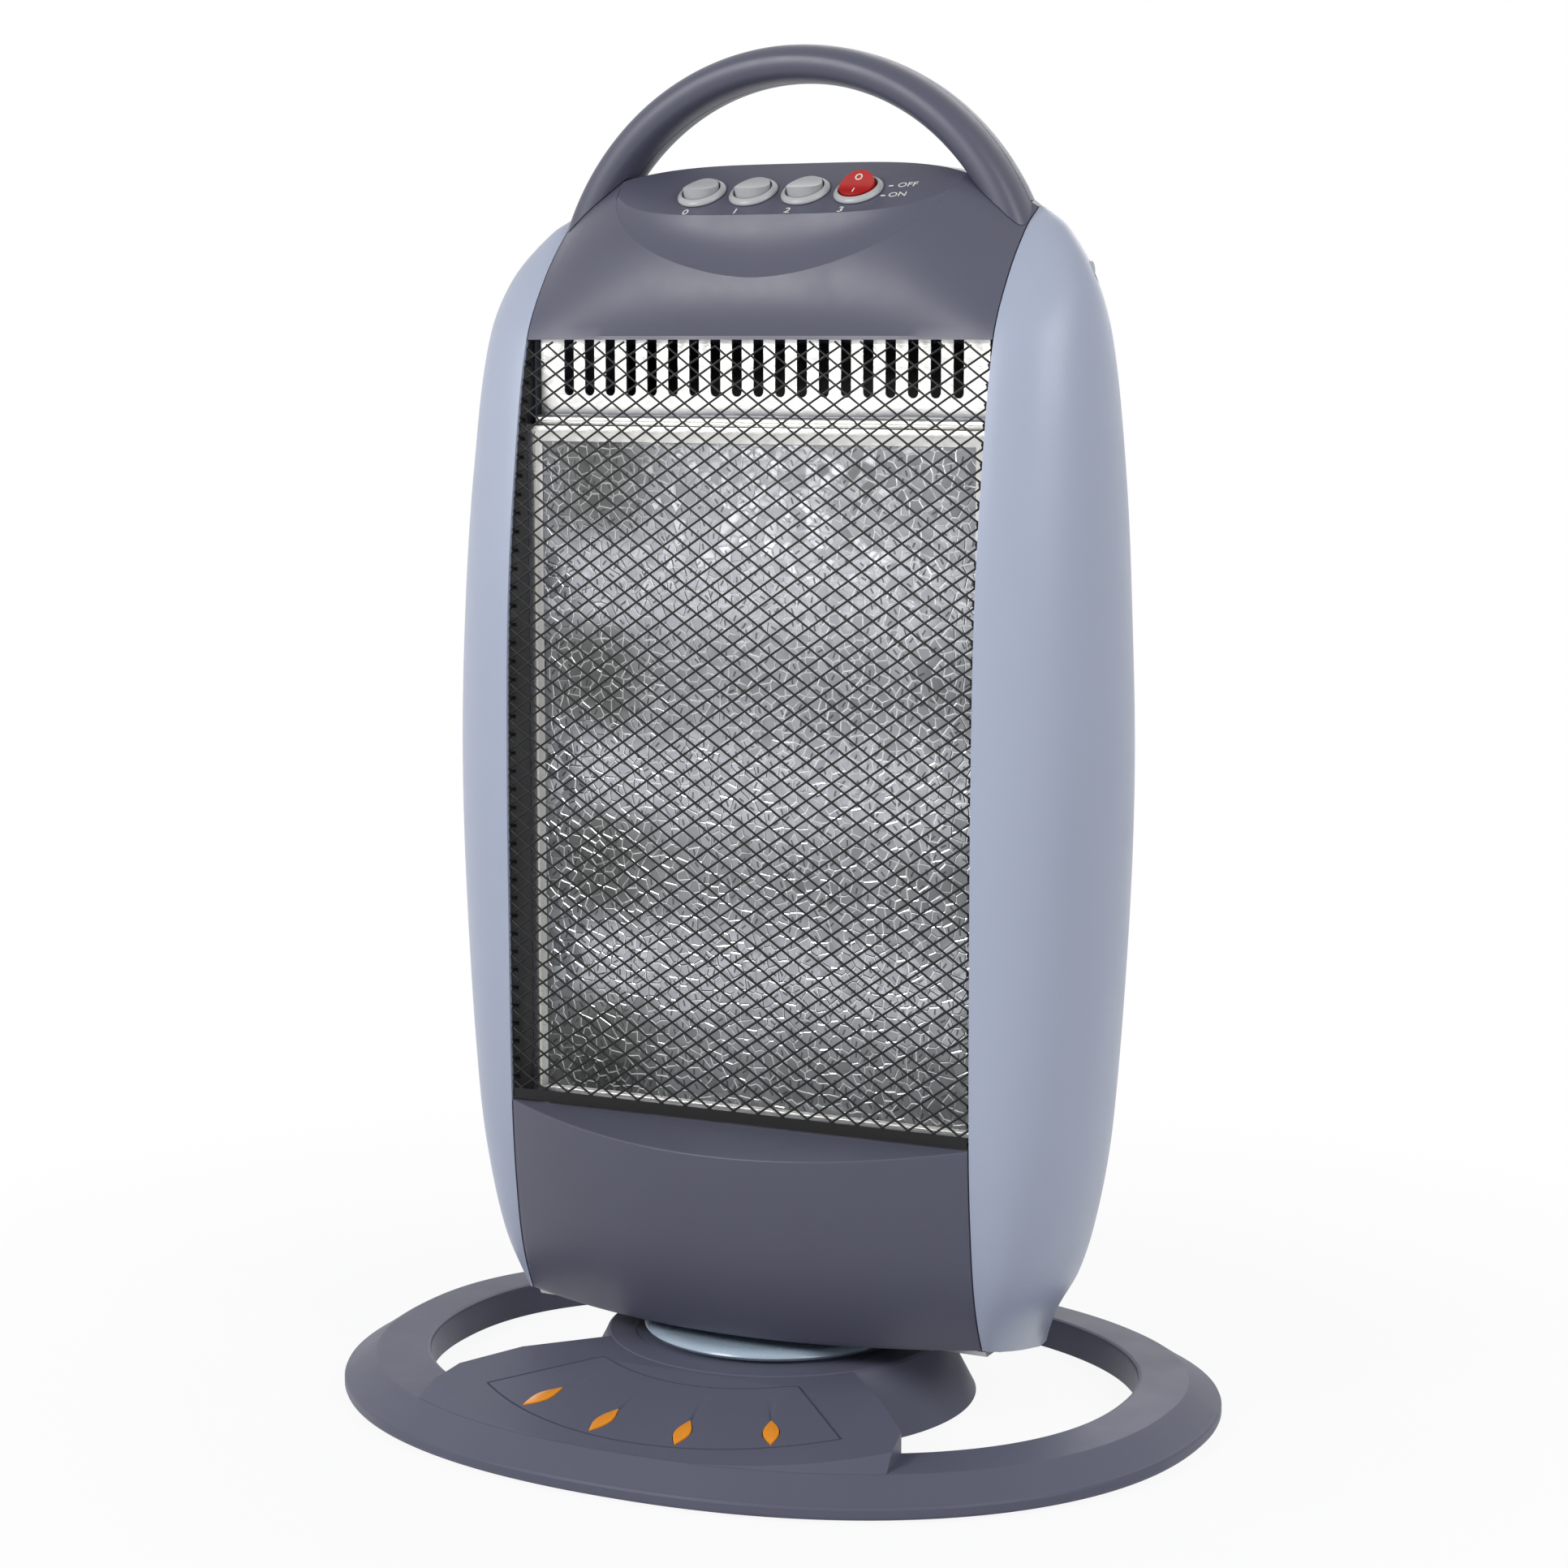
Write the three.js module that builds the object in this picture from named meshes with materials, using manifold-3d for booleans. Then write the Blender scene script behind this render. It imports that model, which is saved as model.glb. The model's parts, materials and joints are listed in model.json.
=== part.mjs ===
// Halogen heater with three horizontal tubes, on an oval ring base.
// Millimetres, +Z up, front faces -Y, origin on the floor under the middle of the base.
// Sizes in Y are taken from the body's own middle line, which lies a little behind the base's.

import * as THREE from 'three';
import { mergeVertices } from 'three/addons/utils/BufferGeometryUtils.js';
import Module from 'manifold-3d';

const wasm = await Module();
wasm.setup();

// ---------------------------------------------------------------- driving dimensions

const GAP = 0.3; // play between neighbouring pieces
const WALL = 2.4; // moulded shell thickness

// base ring: two superellipse halves that meet at the widest point
const BASE_HALF_WIDTH = 176;
const BASE_FRONT_DEPTH = 147.6; // forward of the widest point
const BASE_REAR_DEPTH = 130;
const OVAL_POWER = 2.19;
const OPENING_HALF_WIDTH = 143.5;
const OPENING_FRONT_DEPTH = 111;
const OPENING_REAR_DEPTH = 103;
const RING_LIP_TOP = 6.5;
const RING_TOP = 14;
const RING_BEVEL = 12.5;
const FLOOR_GAP = 1; // ring underside above the floor, held there by the feet

// hub and bridges of the base
const SWIVEL_Y = -4;
const HUB_RADIUS = 79;
const HUB_TOP_RADIUS = 67;
const HUB_TOP = 26;
const HUB_WALL = 3;
const BRIDGE_HUB_X = 48; // half width of the front bridge where it leaves the hub
const BRIDGE_HUB_Y = -40;
const BRIDGE_RING_X = 93; // half width where it meets the ring's inner edge
const BRIDGE_RING_Y = -91;
const BRIDGE_END_X = 101;
const BRIDGE_SHOULDER_Y = -72;
const BRIDGE_SLOPE_END_Y = -133.5;
const REAR_BRIDGE_HALF_WIDTH = 34;

// fan panel with its leaf inserts, laid out round the swivel axis
const FAN_INNER_RADIUS = 80;
const FAN_OUTER_RADIUS = 123;
const FAN_HALF_ANGLE = 37; // along the outer edge
const FAN_INNER_HALF_ANGLE = 31;
const GROOVE_WIDTH = 1.2;
const LEAF_RADIUS = 112;
const LEAF_PITCH = 16.8; // degrees
const LEAF_LENGTH = 18.4;
const LEAF_WIDTH = 6;
const LEAF_COUNT = 4;

// swivel
const DISC_RADIUS = 52;
const DISC_TOP = 30.6;
const SPINDLE_RADIUS = 12;
const SPINDLE_BORE = 7.5;
const CRANK_THROW = 18;
const CRANK_DISTANCE = 36;
const MOTOR_RADIUS = 22.5;
const MOTOR_TOP = 13.6;

// body shell: outline heights and reaches
const BODY_BOTTOM = 21;
const BODY_TOP = 461;
const BODY_HALF_WIDTH = 138.5;
const SEAM_X = 97.5; // plane between the side panels and the middle covers
const SEAM_Y = 30; // plane between the front pieces and the rear cover
const WIDEST_Y = 8;
const FRONT_REACH = 51; // from WIDEST_Y forward to the window plane
const REAR_REACH = 50;
const TIP_Y = 21; // where the shell closes at the top
const CROWN_RISE = 18;
const CROWN_FORWARD = 14;
const CROWN_BACK = 8;
const FRONT_CORNER_Z = 34.8; // lower cover's bottom edge
const FLOOR_FRONT_Y = -24; // the floor plate starts behind the lower cover

// window
const WINDOW_BOTTOM = 115;
const WINDOW_TOP = 412;
const WEB_BACK_Y = -14; // inner side walls of the window end here
const SILL_SAG = 7; // the lower cover's top edge is this much lower in the middle
const LOWER_BULGE = 23.5;
const PANE_Y = -24;
const PANE_THICKNESS = 4;
const PANE_HALF_WIDTH = 92.4;
const PANE_BOTTOM = 118;
const PANE_TOP = 374;
const FRAME_TOP = 379;
const FRAME_DEPTH = 10;
const NET_THICKNESS = 1.1;
const NET_COLUMNS = 7;
const NET_ROWS = 10;
const NET_WIRE = 2.6;
const SLOT_COUNT = 19;
const SLOT_PITCH = 9.1;
const SLOT_WIDTH = 3.8;
const SLOT_BOTTOM = 391;

// rear cover
const VENT_COUNT = 6;
const VENT_PITCH = 9;
const VENT_HEIGHT = 3.6;
const VENT_HALF_WIDTH = 62;
const UPPER_VENT_Z = 352;
const LOWER_VENT_Z = 80;
const GLAND_Z = 52;
const GLAND_RADIUS = 9;

// heating elements
const TUBE_COUNT = 3;
const TUBE_PITCH = 74.7;
const TUBE_MIDDLE_Z = 244.8;
const TUBE_Y = -2;
const TUBE_RADIUS = 5;
const TUBE_HALF_LENGTH = 78;
const CAP_RADIUS = 7.2;
const CAP_INNER_X = 66;
const END_PLATE_X = 93;
const TROUGH_DEPTH = 26;
const SHEET = 1;

// control panel
const PANEL_TILT = 32; // degrees
const PANEL_Y = -1;
const PANEL_Z = 467;
const SWITCH_COUNT = 4;
const SWITCH_PITCH = 22;
const BEZEL_RADIUS = 9.6;
const SWITCH_RADIUS = 8.2;
const ROCKER_HALF_WIDTH = 5;
const ROCKER_HALF_LENGTH = 7.2;
const ROCKER_TILT = 12; // degrees either side of level
const SCOOP_HALF_WIDTH = 72; // crescent hollow between the panel's front edge and the hood's front
const SCOOP_LOWEST = 428.8; // its lowest point, as a height of the shell's outline
const SCOOP_DEPTH = 3.4;
const SCOOP_REACH = 25; // how far its cutter stands out in front

// carrying handle: an arch in the XZ plane
const HANDLE_Y = 16.5;
const HANDLE_RADIUS = 97.7;
const HANDLE_Z = 418.4;
const HANDLE_THICK = 14.5;
const HANDLE_DEPTH = 26;

// outline of the shell from bottom to top: height, width, front, rear, centre shift, all 0 to 1
const SHELL_ROWS = [
  [0.0, 0.03, 0.5, 0.62, 0],
  [0.032, 0.2, 0.69, 0.75, 0],
  [0.077, 0.49, 0.84, 0.88, 0],
  [0.139, 0.69, 0.93, 0.95, 0],
  [0.214, 0.82, 0.98, 1.0, 0],
  [0.375, 0.955, 1.0, 1.0, 0],
  [0.52, 1.0, 1.0, 1.0, 0],
  [0.66, 0.95, 0.96, 1.0, 0],
  [0.775, 0.875, 0.845, 0.96, 0],
  [0.889, 0.75, 0.64, 0.8, 0],
  [0.943, 0.58, 0.41, 0.55, 0.22],
  [0.984, 0.27, 0.2, 0.27, 0.76],
  [1.0, 0.03, 0.04, 0.06, 1],
];

// ---------------------------------------------------------------- colours and finishes

const finishes = {
  dark_plastic: { color: 0x53545f, roughness: 0.42, metalness: 0 },
  base_plastic: { color: 0x50515c, roughness: 0.45, metalness: 0 },
  pale_plastic: { color: 0x9aa3b6, roughness: 0.35, metalness: 0 },
  disc_plastic: { color: 0x93a2b2, roughness: 0.3, metalness: 0 },
  rear_plastic: { color: 0x8f98aa, roughness: 0.4, metalness: 0 },
  grey_plastic: { color: 0xa3a7ab, roughness: 0.4, metalness: 0 },
  red_plastic: { color: 0xd8281c, roughness: 0.25, metalness: 0 },
  amber_plastic: { color: 0xff9f1a, roughness: 0.25, metalness: 0 },
  black_plastic: { color: 0x1c1c1e, roughness: 0.5, metalness: 0 },
  black_wire: { color: 0x141416, roughness: 0.4, metalness: 0.3 },
  bright_sheet: { color: 0xdedcd6, roughness: 0.2, metalness: 1 },
  reflector_sheet: { color: 0xd9d9d6, roughness: 0.15, metalness: 1 },
  steel: { color: 0xa9abad, roughness: 0.35, metalness: 1 },
  pane_glass: { color: 0xd4d6d4, roughness: 0.15, metalness: 0 },
  tube_glass: { color: 0xdfe9f2, roughness: 0.1, metalness: 0 },
  ceramic: { color: 0xf0ede6, roughness: 0.6, metalness: 0 },
  rubber: { color: 0x161617, roughness: 0.85, metalness: 0 },
};

// ---------------------------------------------------------------- solids from three.js geometry

const heater = new THREE.Group();

function signedVolume(position, index) {
  const a = new THREE.Vector3();
  const b = new THREE.Vector3();
  const c = new THREE.Vector3();
  let sum = 0;
  for (let i = 0; i < index.length; i += 3) {
    a.fromBufferAttribute(position, index[i]);
    b.fromBufferAttribute(position, index[i + 1]);
    c.fromBufferAttribute(position, index[i + 2]);
    sum += a.dot(b.cross(c));
  }
  return sum;
}

// Welds the corners, drops collapsed triangles and turns the faces outwards.
function solid(geometry) {
  const plain = geometry.index ? geometry.toNonIndexed() : geometry.clone();
  plain.deleteAttribute('normal');
  plain.deleteAttribute('uv');
  const welded = mergeVertices(plain, 1e-4);
  const corners = welded.index.array;
  const kept = [];
  for (let i = 0; i < corners.length; i += 3) {
    const [a, b, c] = [corners[i], corners[i + 1], corners[i + 2]];
    if (a !== b && b !== c && c !== a) kept.push(a, b, c);
  }
  if (signedVolume(welded.attributes.position, kept) < 0) kept.reverse();
  return new wasm.Manifold(new wasm.Mesh({
    numProp: 3,
    vertProperties: new Float32Array(welded.attributes.position.array),
    triVerts: new Uint32Array(kept),
  }));
}

function geometryOf(manifold) {
  const mesh = manifold.getMesh();
  const geometry = new THREE.BufferGeometry();
  geometry.setAttribute('position', new THREE.BufferAttribute(mesh.vertProperties, 3));
  geometry.setIndex(new THREE.BufferAttribute(mesh.triVerts, 1));
  geometry.computeVertexNormals();
  return geometry;
}

const baseMiddleY = (BASE_REAR_DEPTH - BASE_FRONT_DEPTH) / 2;

// Every piece is moved so that the middle of the base is over the origin.
function add(name, manifold, finish) {
  const placed = manifold.translate([0, -baseMiddleY, 0]);
  const mesh = new THREE.Mesh(geometryOf(placed), new THREE.MeshStandardMaterial(finishes[finish]));
  mesh.name = name;
  heater.add(mesh);
}

const join = (first, ...rest) => rest.reduce((sum, other) => sum.add(other), first);
const cut = (first, ...rest) => rest.reduce((left, other) => left.subtract(other), first);
const meet = (first, ...rest) => rest.reduce((left, other) => left.intersect(other), first);

function boxShape(x0, x1, y0, y1, z0, z1) {
  const geometry = new THREE.BoxGeometry(x1 - x0, y1 - y0, z1 - z0);
  return geometry.translate((x0 + x1) / 2, (y0 + y1) / 2, (z0 + z1) / 2);
}

const block = (...sides) => solid(boxShape(...sides));

function rodShape(radius, z0, z1, x = 0, y = 0, segments = 24) {
  const geometry = new THREE.CylinderGeometry(radius, radius, z1 - z0, segments);
  return geometry.rotateX(Math.PI / 2).translate(x, y, (z0 + z1) / 2);
}

const rod = (...sizes) => solid(rodShape(...sizes));

function rodAlongX(radius, x0, x1, y, z, segments = 16) {
  const geometry = new THREE.CylinderGeometry(radius, radius, x1 - x0, segments);
  return solid(geometry.rotateZ(Math.PI / 2).translate((x0 + x1) / 2, y, z));
}

// Turns a closed list of [radius, height] points about the Z axis through (0, y).
function turned(points, y = 0, segments = 28) {
  const profile = points.map(([radius, height]) => new THREE.Vector2(radius, height));
  const geometry = new THREE.LatheGeometry(profile, segments);
  return solid(geometry.rotateX(Math.PI / 2).translate(0, y, 0));
}

const flat = { bevelEnabled: false, curveSegments: 12 };

function prismUp(shape, z0, z1, steps = 1) {
  const geometry = new THREE.ExtrudeGeometry(shape, { ...flat, depth: z1 - z0, steps });
  return geometry.translate(0, 0, z0);
}

// The shape is drawn in Y and Z and runs along X.
function prismAcross(shape, x0, x1, steps = 1) {
  const geometry = new THREE.ExtrudeGeometry(shape, { ...flat, depth: x1 - x0, steps });
  const turn = new THREE.Matrix4().makeBasis(
    new THREE.Vector3(0, 1, 0),
    new THREE.Vector3(0, 0, 1),
    new THREE.Vector3(1, 0, 0),
  );
  return geometry.applyMatrix4(turn).translate(x0, 0, 0);
}

// The shape is drawn in X and Z and runs along Y.
function prismBack(shape, y0, y1, steps = 1) {
  const geometry = new THREE.ExtrudeGeometry(shape, { ...flat, depth: y1 - y0, steps });
  const turn = new THREE.Matrix4().makeBasis(
    new THREE.Vector3(1, 0, 0),
    new THREE.Vector3(0, 0, 1),
    new THREE.Vector3(0, -1, 0),
  );
  return geometry.applyMatrix4(turn).translate(0, y1, 0);
}

function outline(points) {
  return new THREE.Shape(points.map(([x, y]) => new THREE.Vector2(x, y)));
}

// Moves every vertex of a geometry to where move(point) puts it.
function warp(geometry, move) {
  const position = geometry.attributes.position;
  const point = new THREE.Vector3();
  for (let i = 0; i < position.count; i += 1) {
    point.fromBufferAttribute(position, i);
    move(point);
    position.setXYZ(i, point.x, point.y, point.z);
  }
  return geometry;
}

const degrees = (angle) => THREE.MathUtils.degToRad(angle);
const between = THREE.MathUtils.lerp;
const clamp01 = (value) => THREE.MathUtils.clamp(value, 0, 1);

// ---------------------------------------------------------------- shapes shared by several pieces

const baseOval = { width: BASE_HALF_WIDTH, front: BASE_FRONT_DEPTH, rear: BASE_REAR_DEPTH };
const openingOval = { width: OPENING_HALF_WIDTH, front: OPENING_FRONT_DEPTH, rear: OPENING_REAR_DEPTH };

// A solid of one of the ovals, whose rim goes through [inset, height] levels from the bottom up.
function ovalSolid(oval, levels) {
  const sides = 48;
  const geometry = new THREE.CylinderGeometry(1, 1, 1, sides, levels.length - 1);
  return solid(warp(geometry, (point) => {
    const level = Math.round((point.y + 0.5) * (levels.length - 1));
    const [inset, height] = levels[level];
    const angle = Math.atan2(point.z, point.x);
    const size = Math.min(1, Math.hypot(point.x, point.z));
    const reach = (part) => Math.sign(part) * Math.abs(part) ** (2 / OVAL_POWER);
    const depth = (angle > 0 ? oval.rear : oval.front) - inset;
    const x = size * (oval.width - inset) * reach(Math.cos(angle));
    point.set(x, size * depth * reach(Math.sin(angle)), height);
  }));
}

// One column of the shell's outline at a height from 0 to 1, as a smooth curve through its rows.
function shellValue(column, height) {
  const rows = SHELL_ROWS;
  let k = 0;
  while (k < rows.length - 2 && height > rows[k + 1][0]) k += 1;
  const slope = (i) => {
    const low = rows[Math.max(i - 1, 0)];
    const high = rows[Math.min(i + 1, rows.length - 1)];
    return (high[column] - low[column]) / (high[0] - low[0]);
  };
  const span = rows[k + 1][0] - rows[k][0];
  const t = (height - rows[k][0]) / span;
  const from = rows[k][column];
  const to = rows[k + 1][column];
  const rise = to - from;
  const lead = span * slope(k) - rise;
  const trail = rise - span * slope(k + 1);
  return from + rise * t + t * (1 - t) * (lead * (1 - t) + trail * t);
}

const shellHeight = (z) => clamp01((z - BODY_BOTTOM) / (BODY_TOP - BODY_BOTTOM));

// The shell's section at one height: half width beyond the seam, front, rear and centre.
function shellSection(z) {
  const h = shellHeight(z);
  const centre = between(WIDEST_Y, TIP_Y, shellValue(4, h));
  return {
    centre,
    side: (BODY_HALF_WIDTH - SEAM_X) * shellValue(1, h),
    front: FRONT_REACH * shellValue(2, h),
    rear: REAR_REACH * shellValue(3, h),
  };
}

const frontY = (z) => shellSection(z).centre - shellSection(z).front;

const FRONT_STEPS = 5;
const SIDE_STEPS = 6;
const CORNER_STEPS = 5;
const BACK_STEPS = 4;
const HALF_STEPS = FRONT_STEPS + SIDE_STEPS + CORNER_STEPS + BACK_STEPS;

// Point number i round half of a section, from the middle of the front to the middle of the back.
function sectionPoint(i, section, inset) {
  const side = Math.max(section.side - inset, 0.2);
  const front = Math.max(section.front - inset, 0.3);
  const rear = Math.max(section.rear - inset, 0.3);
  if (i <= FRONT_STEPS) return [(SEAM_X * i) / FRONT_STEPS, section.centre - front];
  const onSide = i - FRONT_STEPS;
  if (onSide <= SIDE_STEPS) {
    const turn = degrees((90 * onSide) / SIDE_STEPS);
    return [SEAM_X + side * Math.sin(turn), section.centre - front * Math.cos(turn)];
  }
  const onCorner = onSide - SIDE_STEPS;
  if (onCorner <= CORNER_STEPS) {
    const turn = degrees((90 * onCorner) / CORNER_STEPS);
    return [SEAM_X + side * Math.cos(turn), section.centre + rear * Math.sin(turn)];
  }
  const onBack = onCorner - CORNER_STEPS;
  return [SEAM_X * (1 - onBack / BACK_STEPS), section.centre + rear];
}

// Lifts and widens the top of the shell in its middle.
function crown(point, centre) {
  const middle = 1 - Math.min(1, Math.abs(point.x) / SEAM_X) ** 4;
  const lift = clamp01((point.z - WINDOW_TOP) / (BODY_TOP - WINDOW_TOP));
  const forward = CROWN_FORWARD * Math.min(1, 2 * lift) * middle;
  const back = CROWN_BACK * lift * middle;
  point.y += point.y < centre ? -forward : back;
  point.z += CROWN_RISE * lift * middle;
}

// The whole body as one closed form, with its faces moved in by the inset.
function bodyForm(inset) {
  const levels = 18;
  const geometry = new THREE.CylinderGeometry(1, 1, 1, 2 * HALF_STEPS, levels);
  return solid(warp(geometry, (point) => {
    const rise = (1 - Math.cos(Math.PI * (point.y + 0.5))) / 2;
    const z = between(BODY_BOTTOM + inset, BODY_TOP - inset, rise);
    const section = shellSection(z);
    if (Math.hypot(point.x, point.z) < 0.5) {
      point.set(0, section.centre, z);
    } else {
      const turn = Math.atan2(point.x, -point.z);
      const number = Math.round((turn / Math.PI) * HALF_STEPS);
      const [x, y] = sectionPoint(Math.abs(number), section, inset);
      point.set(Math.sign(number) * x, y, z);
    }
    crown(point, section.centre);
  }));
}

const shellOuter = bodyForm(0);
const shellInner = bodyForm(WALL);
const shell = cut(shellOuter, shellInner);

// The underside slants down from the front corner to the skirt at the back.
const undersideSlope = (FRONT_CORNER_Z - BODY_BOTTOM) / (SEAM_Y - frontY(FRONT_CORNER_Z));
const underside = solid(prismAcross(outline([
  [-200, -50],
  [SEAM_Y, -50],
  [SEAM_Y, BODY_BOTTOM],
  [-200, BODY_BOTTOM + undersideSlope * (SEAM_Y + 200)],
]), -200, 200));

// Round room over the hub, so that the skirt swings clear of it.
const hubRoom = rod(HUB_RADIUS + 8, 0, DISC_TOP + GAP, 0, SWIVEL_Y, 48);

// Places a geometry that is drawn on the flat XY plane onto the tilted control panel.
function onPanel(geometry) {
  return geometry.rotateX(degrees(PANEL_TILT)).translate(0, PANEL_Y, PANEL_Z);
}

// ---------------------------------------------------------------- base

const bridgeTop = (y) => {
  const slope = (HUB_TOP - 0.5 - RING_TOP) / (BRIDGE_SHOULDER_Y - BRIDGE_SLOPE_END_Y);
  return HUB_TOP - 0.5 - slope * Math.max(0, BRIDGE_SHOULDER_Y - y);
};

// The ring's bevel carried on upwards, which trims the outer ends of the bridge.
function bevelForm(inset) {
  const rise = HUB_TOP - RING_TOP;
  const run = (rise * (RING_BEVEL - 1.5)) / (RING_TOP - RING_LIP_TOP);
  return ovalSolid(baseOval, [
    [RING_BEVEL + inset, -10],
    [RING_BEVEL + inset, RING_TOP],
    [RING_BEVEL + inset + run, RING_TOP + rise],
    [RING_BEVEL + inset + run + 1, RING_TOP + 2 * rise],
  ]);
}

function bridgeSolid(inset, drop, bottom) {
  const splay = Math.atan2(BRIDGE_RING_X - BRIDGE_HUB_X, BRIDGE_HUB_Y - BRIDGE_RING_Y);
  const side = inset / Math.cos(splay);
  const half = [
    [BRIDGE_HUB_X - side, -20],
    [BRIDGE_HUB_X - side, BRIDGE_HUB_Y],
    [BRIDGE_RING_X - side, BRIDGE_RING_Y],
    [BRIDGE_END_X - side, BRIDGE_SLOPE_END_Y + inset],
  ];
  const mirrorHalf = half.map(([x, y]) => [-x, y]).reverse();
  const plan = outline([...half, ...mirrorHalf]);
  const profile = outline([
    [-20, bottom],
    [-20, bridgeTop(-20) - drop],
    [BRIDGE_SHOULDER_Y, bridgeTop(BRIDGE_SHOULDER_Y) - drop],
    [BRIDGE_SLOPE_END_Y, bridgeTop(BRIDGE_SLOPE_END_Y) - drop],
    [BRIDGE_SLOPE_END_Y, bottom],
  ]);
  return meet(solid(prismUp(plan, -10, 60)), solid(prismAcross(profile, -200, 200)), bevelForm(inset));
}

function rearBridgeSolid(inset, drop, bottom) {
  const half = REAR_BRIDGE_HALF_WIDTH - inset;
  const end = OPENING_REAR_DEPTH + 8 - inset;
  const side = outline([
    [20, bottom],
    [20, HUB_TOP - 1 - drop],
    [HUB_TOP_RADIUS - 6, HUB_TOP - 1 - drop],
    [end, RING_TOP - drop],
    [end, bottom],
  ]);
  return solid(prismAcross(side, -half, half));
}

// A ring sector round the swivel axis, opening towards the front.
function fanShape(inner, outer, innerHalf, outerHalf) {
  const shape = new THREE.Shape();
  const at = (radius, angle) => [
    radius * Math.sin(degrees(angle)),
    SWIVEL_Y - radius * Math.cos(degrees(angle)),
  ];
  const steps = 10;
  shape.moveTo(...at(inner, -innerHalf));
  for (let i = 0; i <= steps; i += 1) shape.lineTo(...at(outer, between(-outerHalf, outerHalf, i / steps)));
  for (let i = 0; i < steps; i += 1) shape.lineTo(...at(inner, between(innerHalf, -innerHalf, i / steps)));
  return shape;
}

function leafShape(margin) {
  const half = LEAF_LENGTH / 2 + margin;
  const width = LEAF_WIDTH + 2 * margin;
  const shape = new THREE.Shape();
  shape.moveTo(0, -half);
  shape.quadraticCurveTo(width, 0, 0, half);
  shape.quadraticCurveTo(-width, 0, 0, -half);
  return shape;
}

const bridgeTilt = Math.atan2(
  bridgeTop(BRIDGE_SHOULDER_Y) - bridgeTop(BRIDGE_SLOPE_END_Y),
  BRIDGE_SHOULDER_Y - BRIDGE_SLOPE_END_Y,
);

// A leaf lies on the sloping fan panel and points at the swivel axis.
function leafSolid(number, margin, from, to) {
  const angle = degrees(LEAF_PITCH * (number - (LEAF_COUNT - 1) / 2));
  const y = SWIVEL_Y - LEAF_RADIUS * Math.cos(angle);
  const geometry = new THREE.ExtrudeGeometry(leafShape(margin), {
    bevelEnabled: false,
    curveSegments: 7,
    depth: to - from,
  }).translate(0, 0, from);
  geometry.rotateZ(angle).rotateX(bridgeTilt);
  return solid(geometry.translate(LEAF_RADIUS * Math.sin(angle), y, bridgeTop(y)));
}

const FOOT_RADIUS = 8;
const FOOT_SEAT = 4; // depth of the foot's pocket
const footPlaces = [
  [-118, -88],
  [118, -88],
  [-118, 78],
  [118, 78],
];

function makeBase() {
  const rim = ovalSolid(baseOval, [
    [1.5, FLOOR_GAP],
    [0, FLOOR_GAP + 1.5],
    [0, RING_LIP_TOP - 1],
    [1.5, RING_LIP_TOP],
    [RING_BEVEL, RING_TOP],
  ]);
  const opening = ovalSolid(openingOval, [
    [-1.5, -5],
    [0, RING_TOP - 1],
    [-1.5, RING_TOP + 1],
  ]);
  const channel = cut(
    ovalSolid(baseOval, [[RING_BEVEL, -5], [RING_BEVEL, RING_TOP - HUB_WALL]]),
    ovalSolid(openingOval, [[-HUB_WALL - 1, -6], [-HUB_WALL - 1, RING_TOP]]),
  );
  const hub = turned([
    [0, FLOOR_GAP],
    [HUB_RADIUS, FLOOR_GAP],
    [HUB_TOP_RADIUS, HUB_TOP - 1.5],
    [HUB_TOP_RADIUS - 1.5, HUB_TOP],
    [0, HUB_TOP],
  ], SWIVEL_Y, 40);
  const hubHollow = turned([
    [0, -5],
    [HUB_TOP_RADIUS - 2 * HUB_WALL, -5],
    [HUB_TOP_RADIUS - 2 * HUB_WALL, HUB_TOP - HUB_WALL],
    [0, HUB_TOP - HUB_WALL],
  ], SWIVEL_Y, 28);
  const ring = cut(rim, opening, channel);
  const upper = join(ring, hub, bridgeSolid(0, 0, FLOOR_GAP), rearBridgeSolid(0, 0, FLOOR_GAP));
  const hollows = join(
    hubHollow,
    cut(bridgeSolid(HUB_WALL, HUB_WALL, -5), rod(HUB_RADIUS, -6, 60, 0, SWIVEL_Y, 40)),
    cut(rearBridgeSolid(HUB_WALL, HUB_WALL, -5), rod(HUB_RADIUS, -6, 60, 0, SWIVEL_Y, 40)),
  );
  const groove = meet(
    cut(
      solid(prismUp(fanShape(FAN_INNER_RADIUS, FAN_OUTER_RADIUS, FAN_INNER_HALF_ANGLE, FAN_HALF_ANGLE), 0, 40)),
      solid(prismUp(
        fanShape(
          FAN_INNER_RADIUS + GROOVE_WIDTH,
          FAN_OUTER_RADIUS - GROOVE_WIDTH,
          FAN_INNER_HALF_ANGLE - 0.8,
          FAN_HALF_ANGLE - 0.7,
        ),
        -1,
        41,
      )),
    ),
    cut(bridgeSolid(0, -5, 0), bridgeSolid(-5, 0.8, -1)),
  );
  const bosses = footPlaces.map(([x, y]) => (
    meet(rim, rod(FOOT_RADIUS + 3, FLOOR_GAP, RING_TOP - 1, x, y, 16))
  ));
  const seats = footPlaces.map(([x, y]) => rod(FOOT_RADIUS + GAP, -5, FLOOR_GAP + FOOT_SEAT, x, y, 16));
  const leaves = [...Array(LEAF_COUNT).keys()].map((i) => leafSolid(i, GAP, -1.4, 10));
  const bushHole = rod(SPINDLE_RADIUS + 2.9, 0, 40, 0, SWIVEL_Y);
  return cut(join(cut(upper, hollows), ...bosses), groove, ...seats, ...leaves, bushHole);
}

add('base_ring', makeBase(), 'base_plastic');

footPlaces.forEach(([x, y], i) => {
  add(`foot_${i + 1}`, rod(FOOT_RADIUS, 0, FLOOR_GAP + FOOT_SEAT - GAP, x, y, 16), 'rubber');
});

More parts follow.
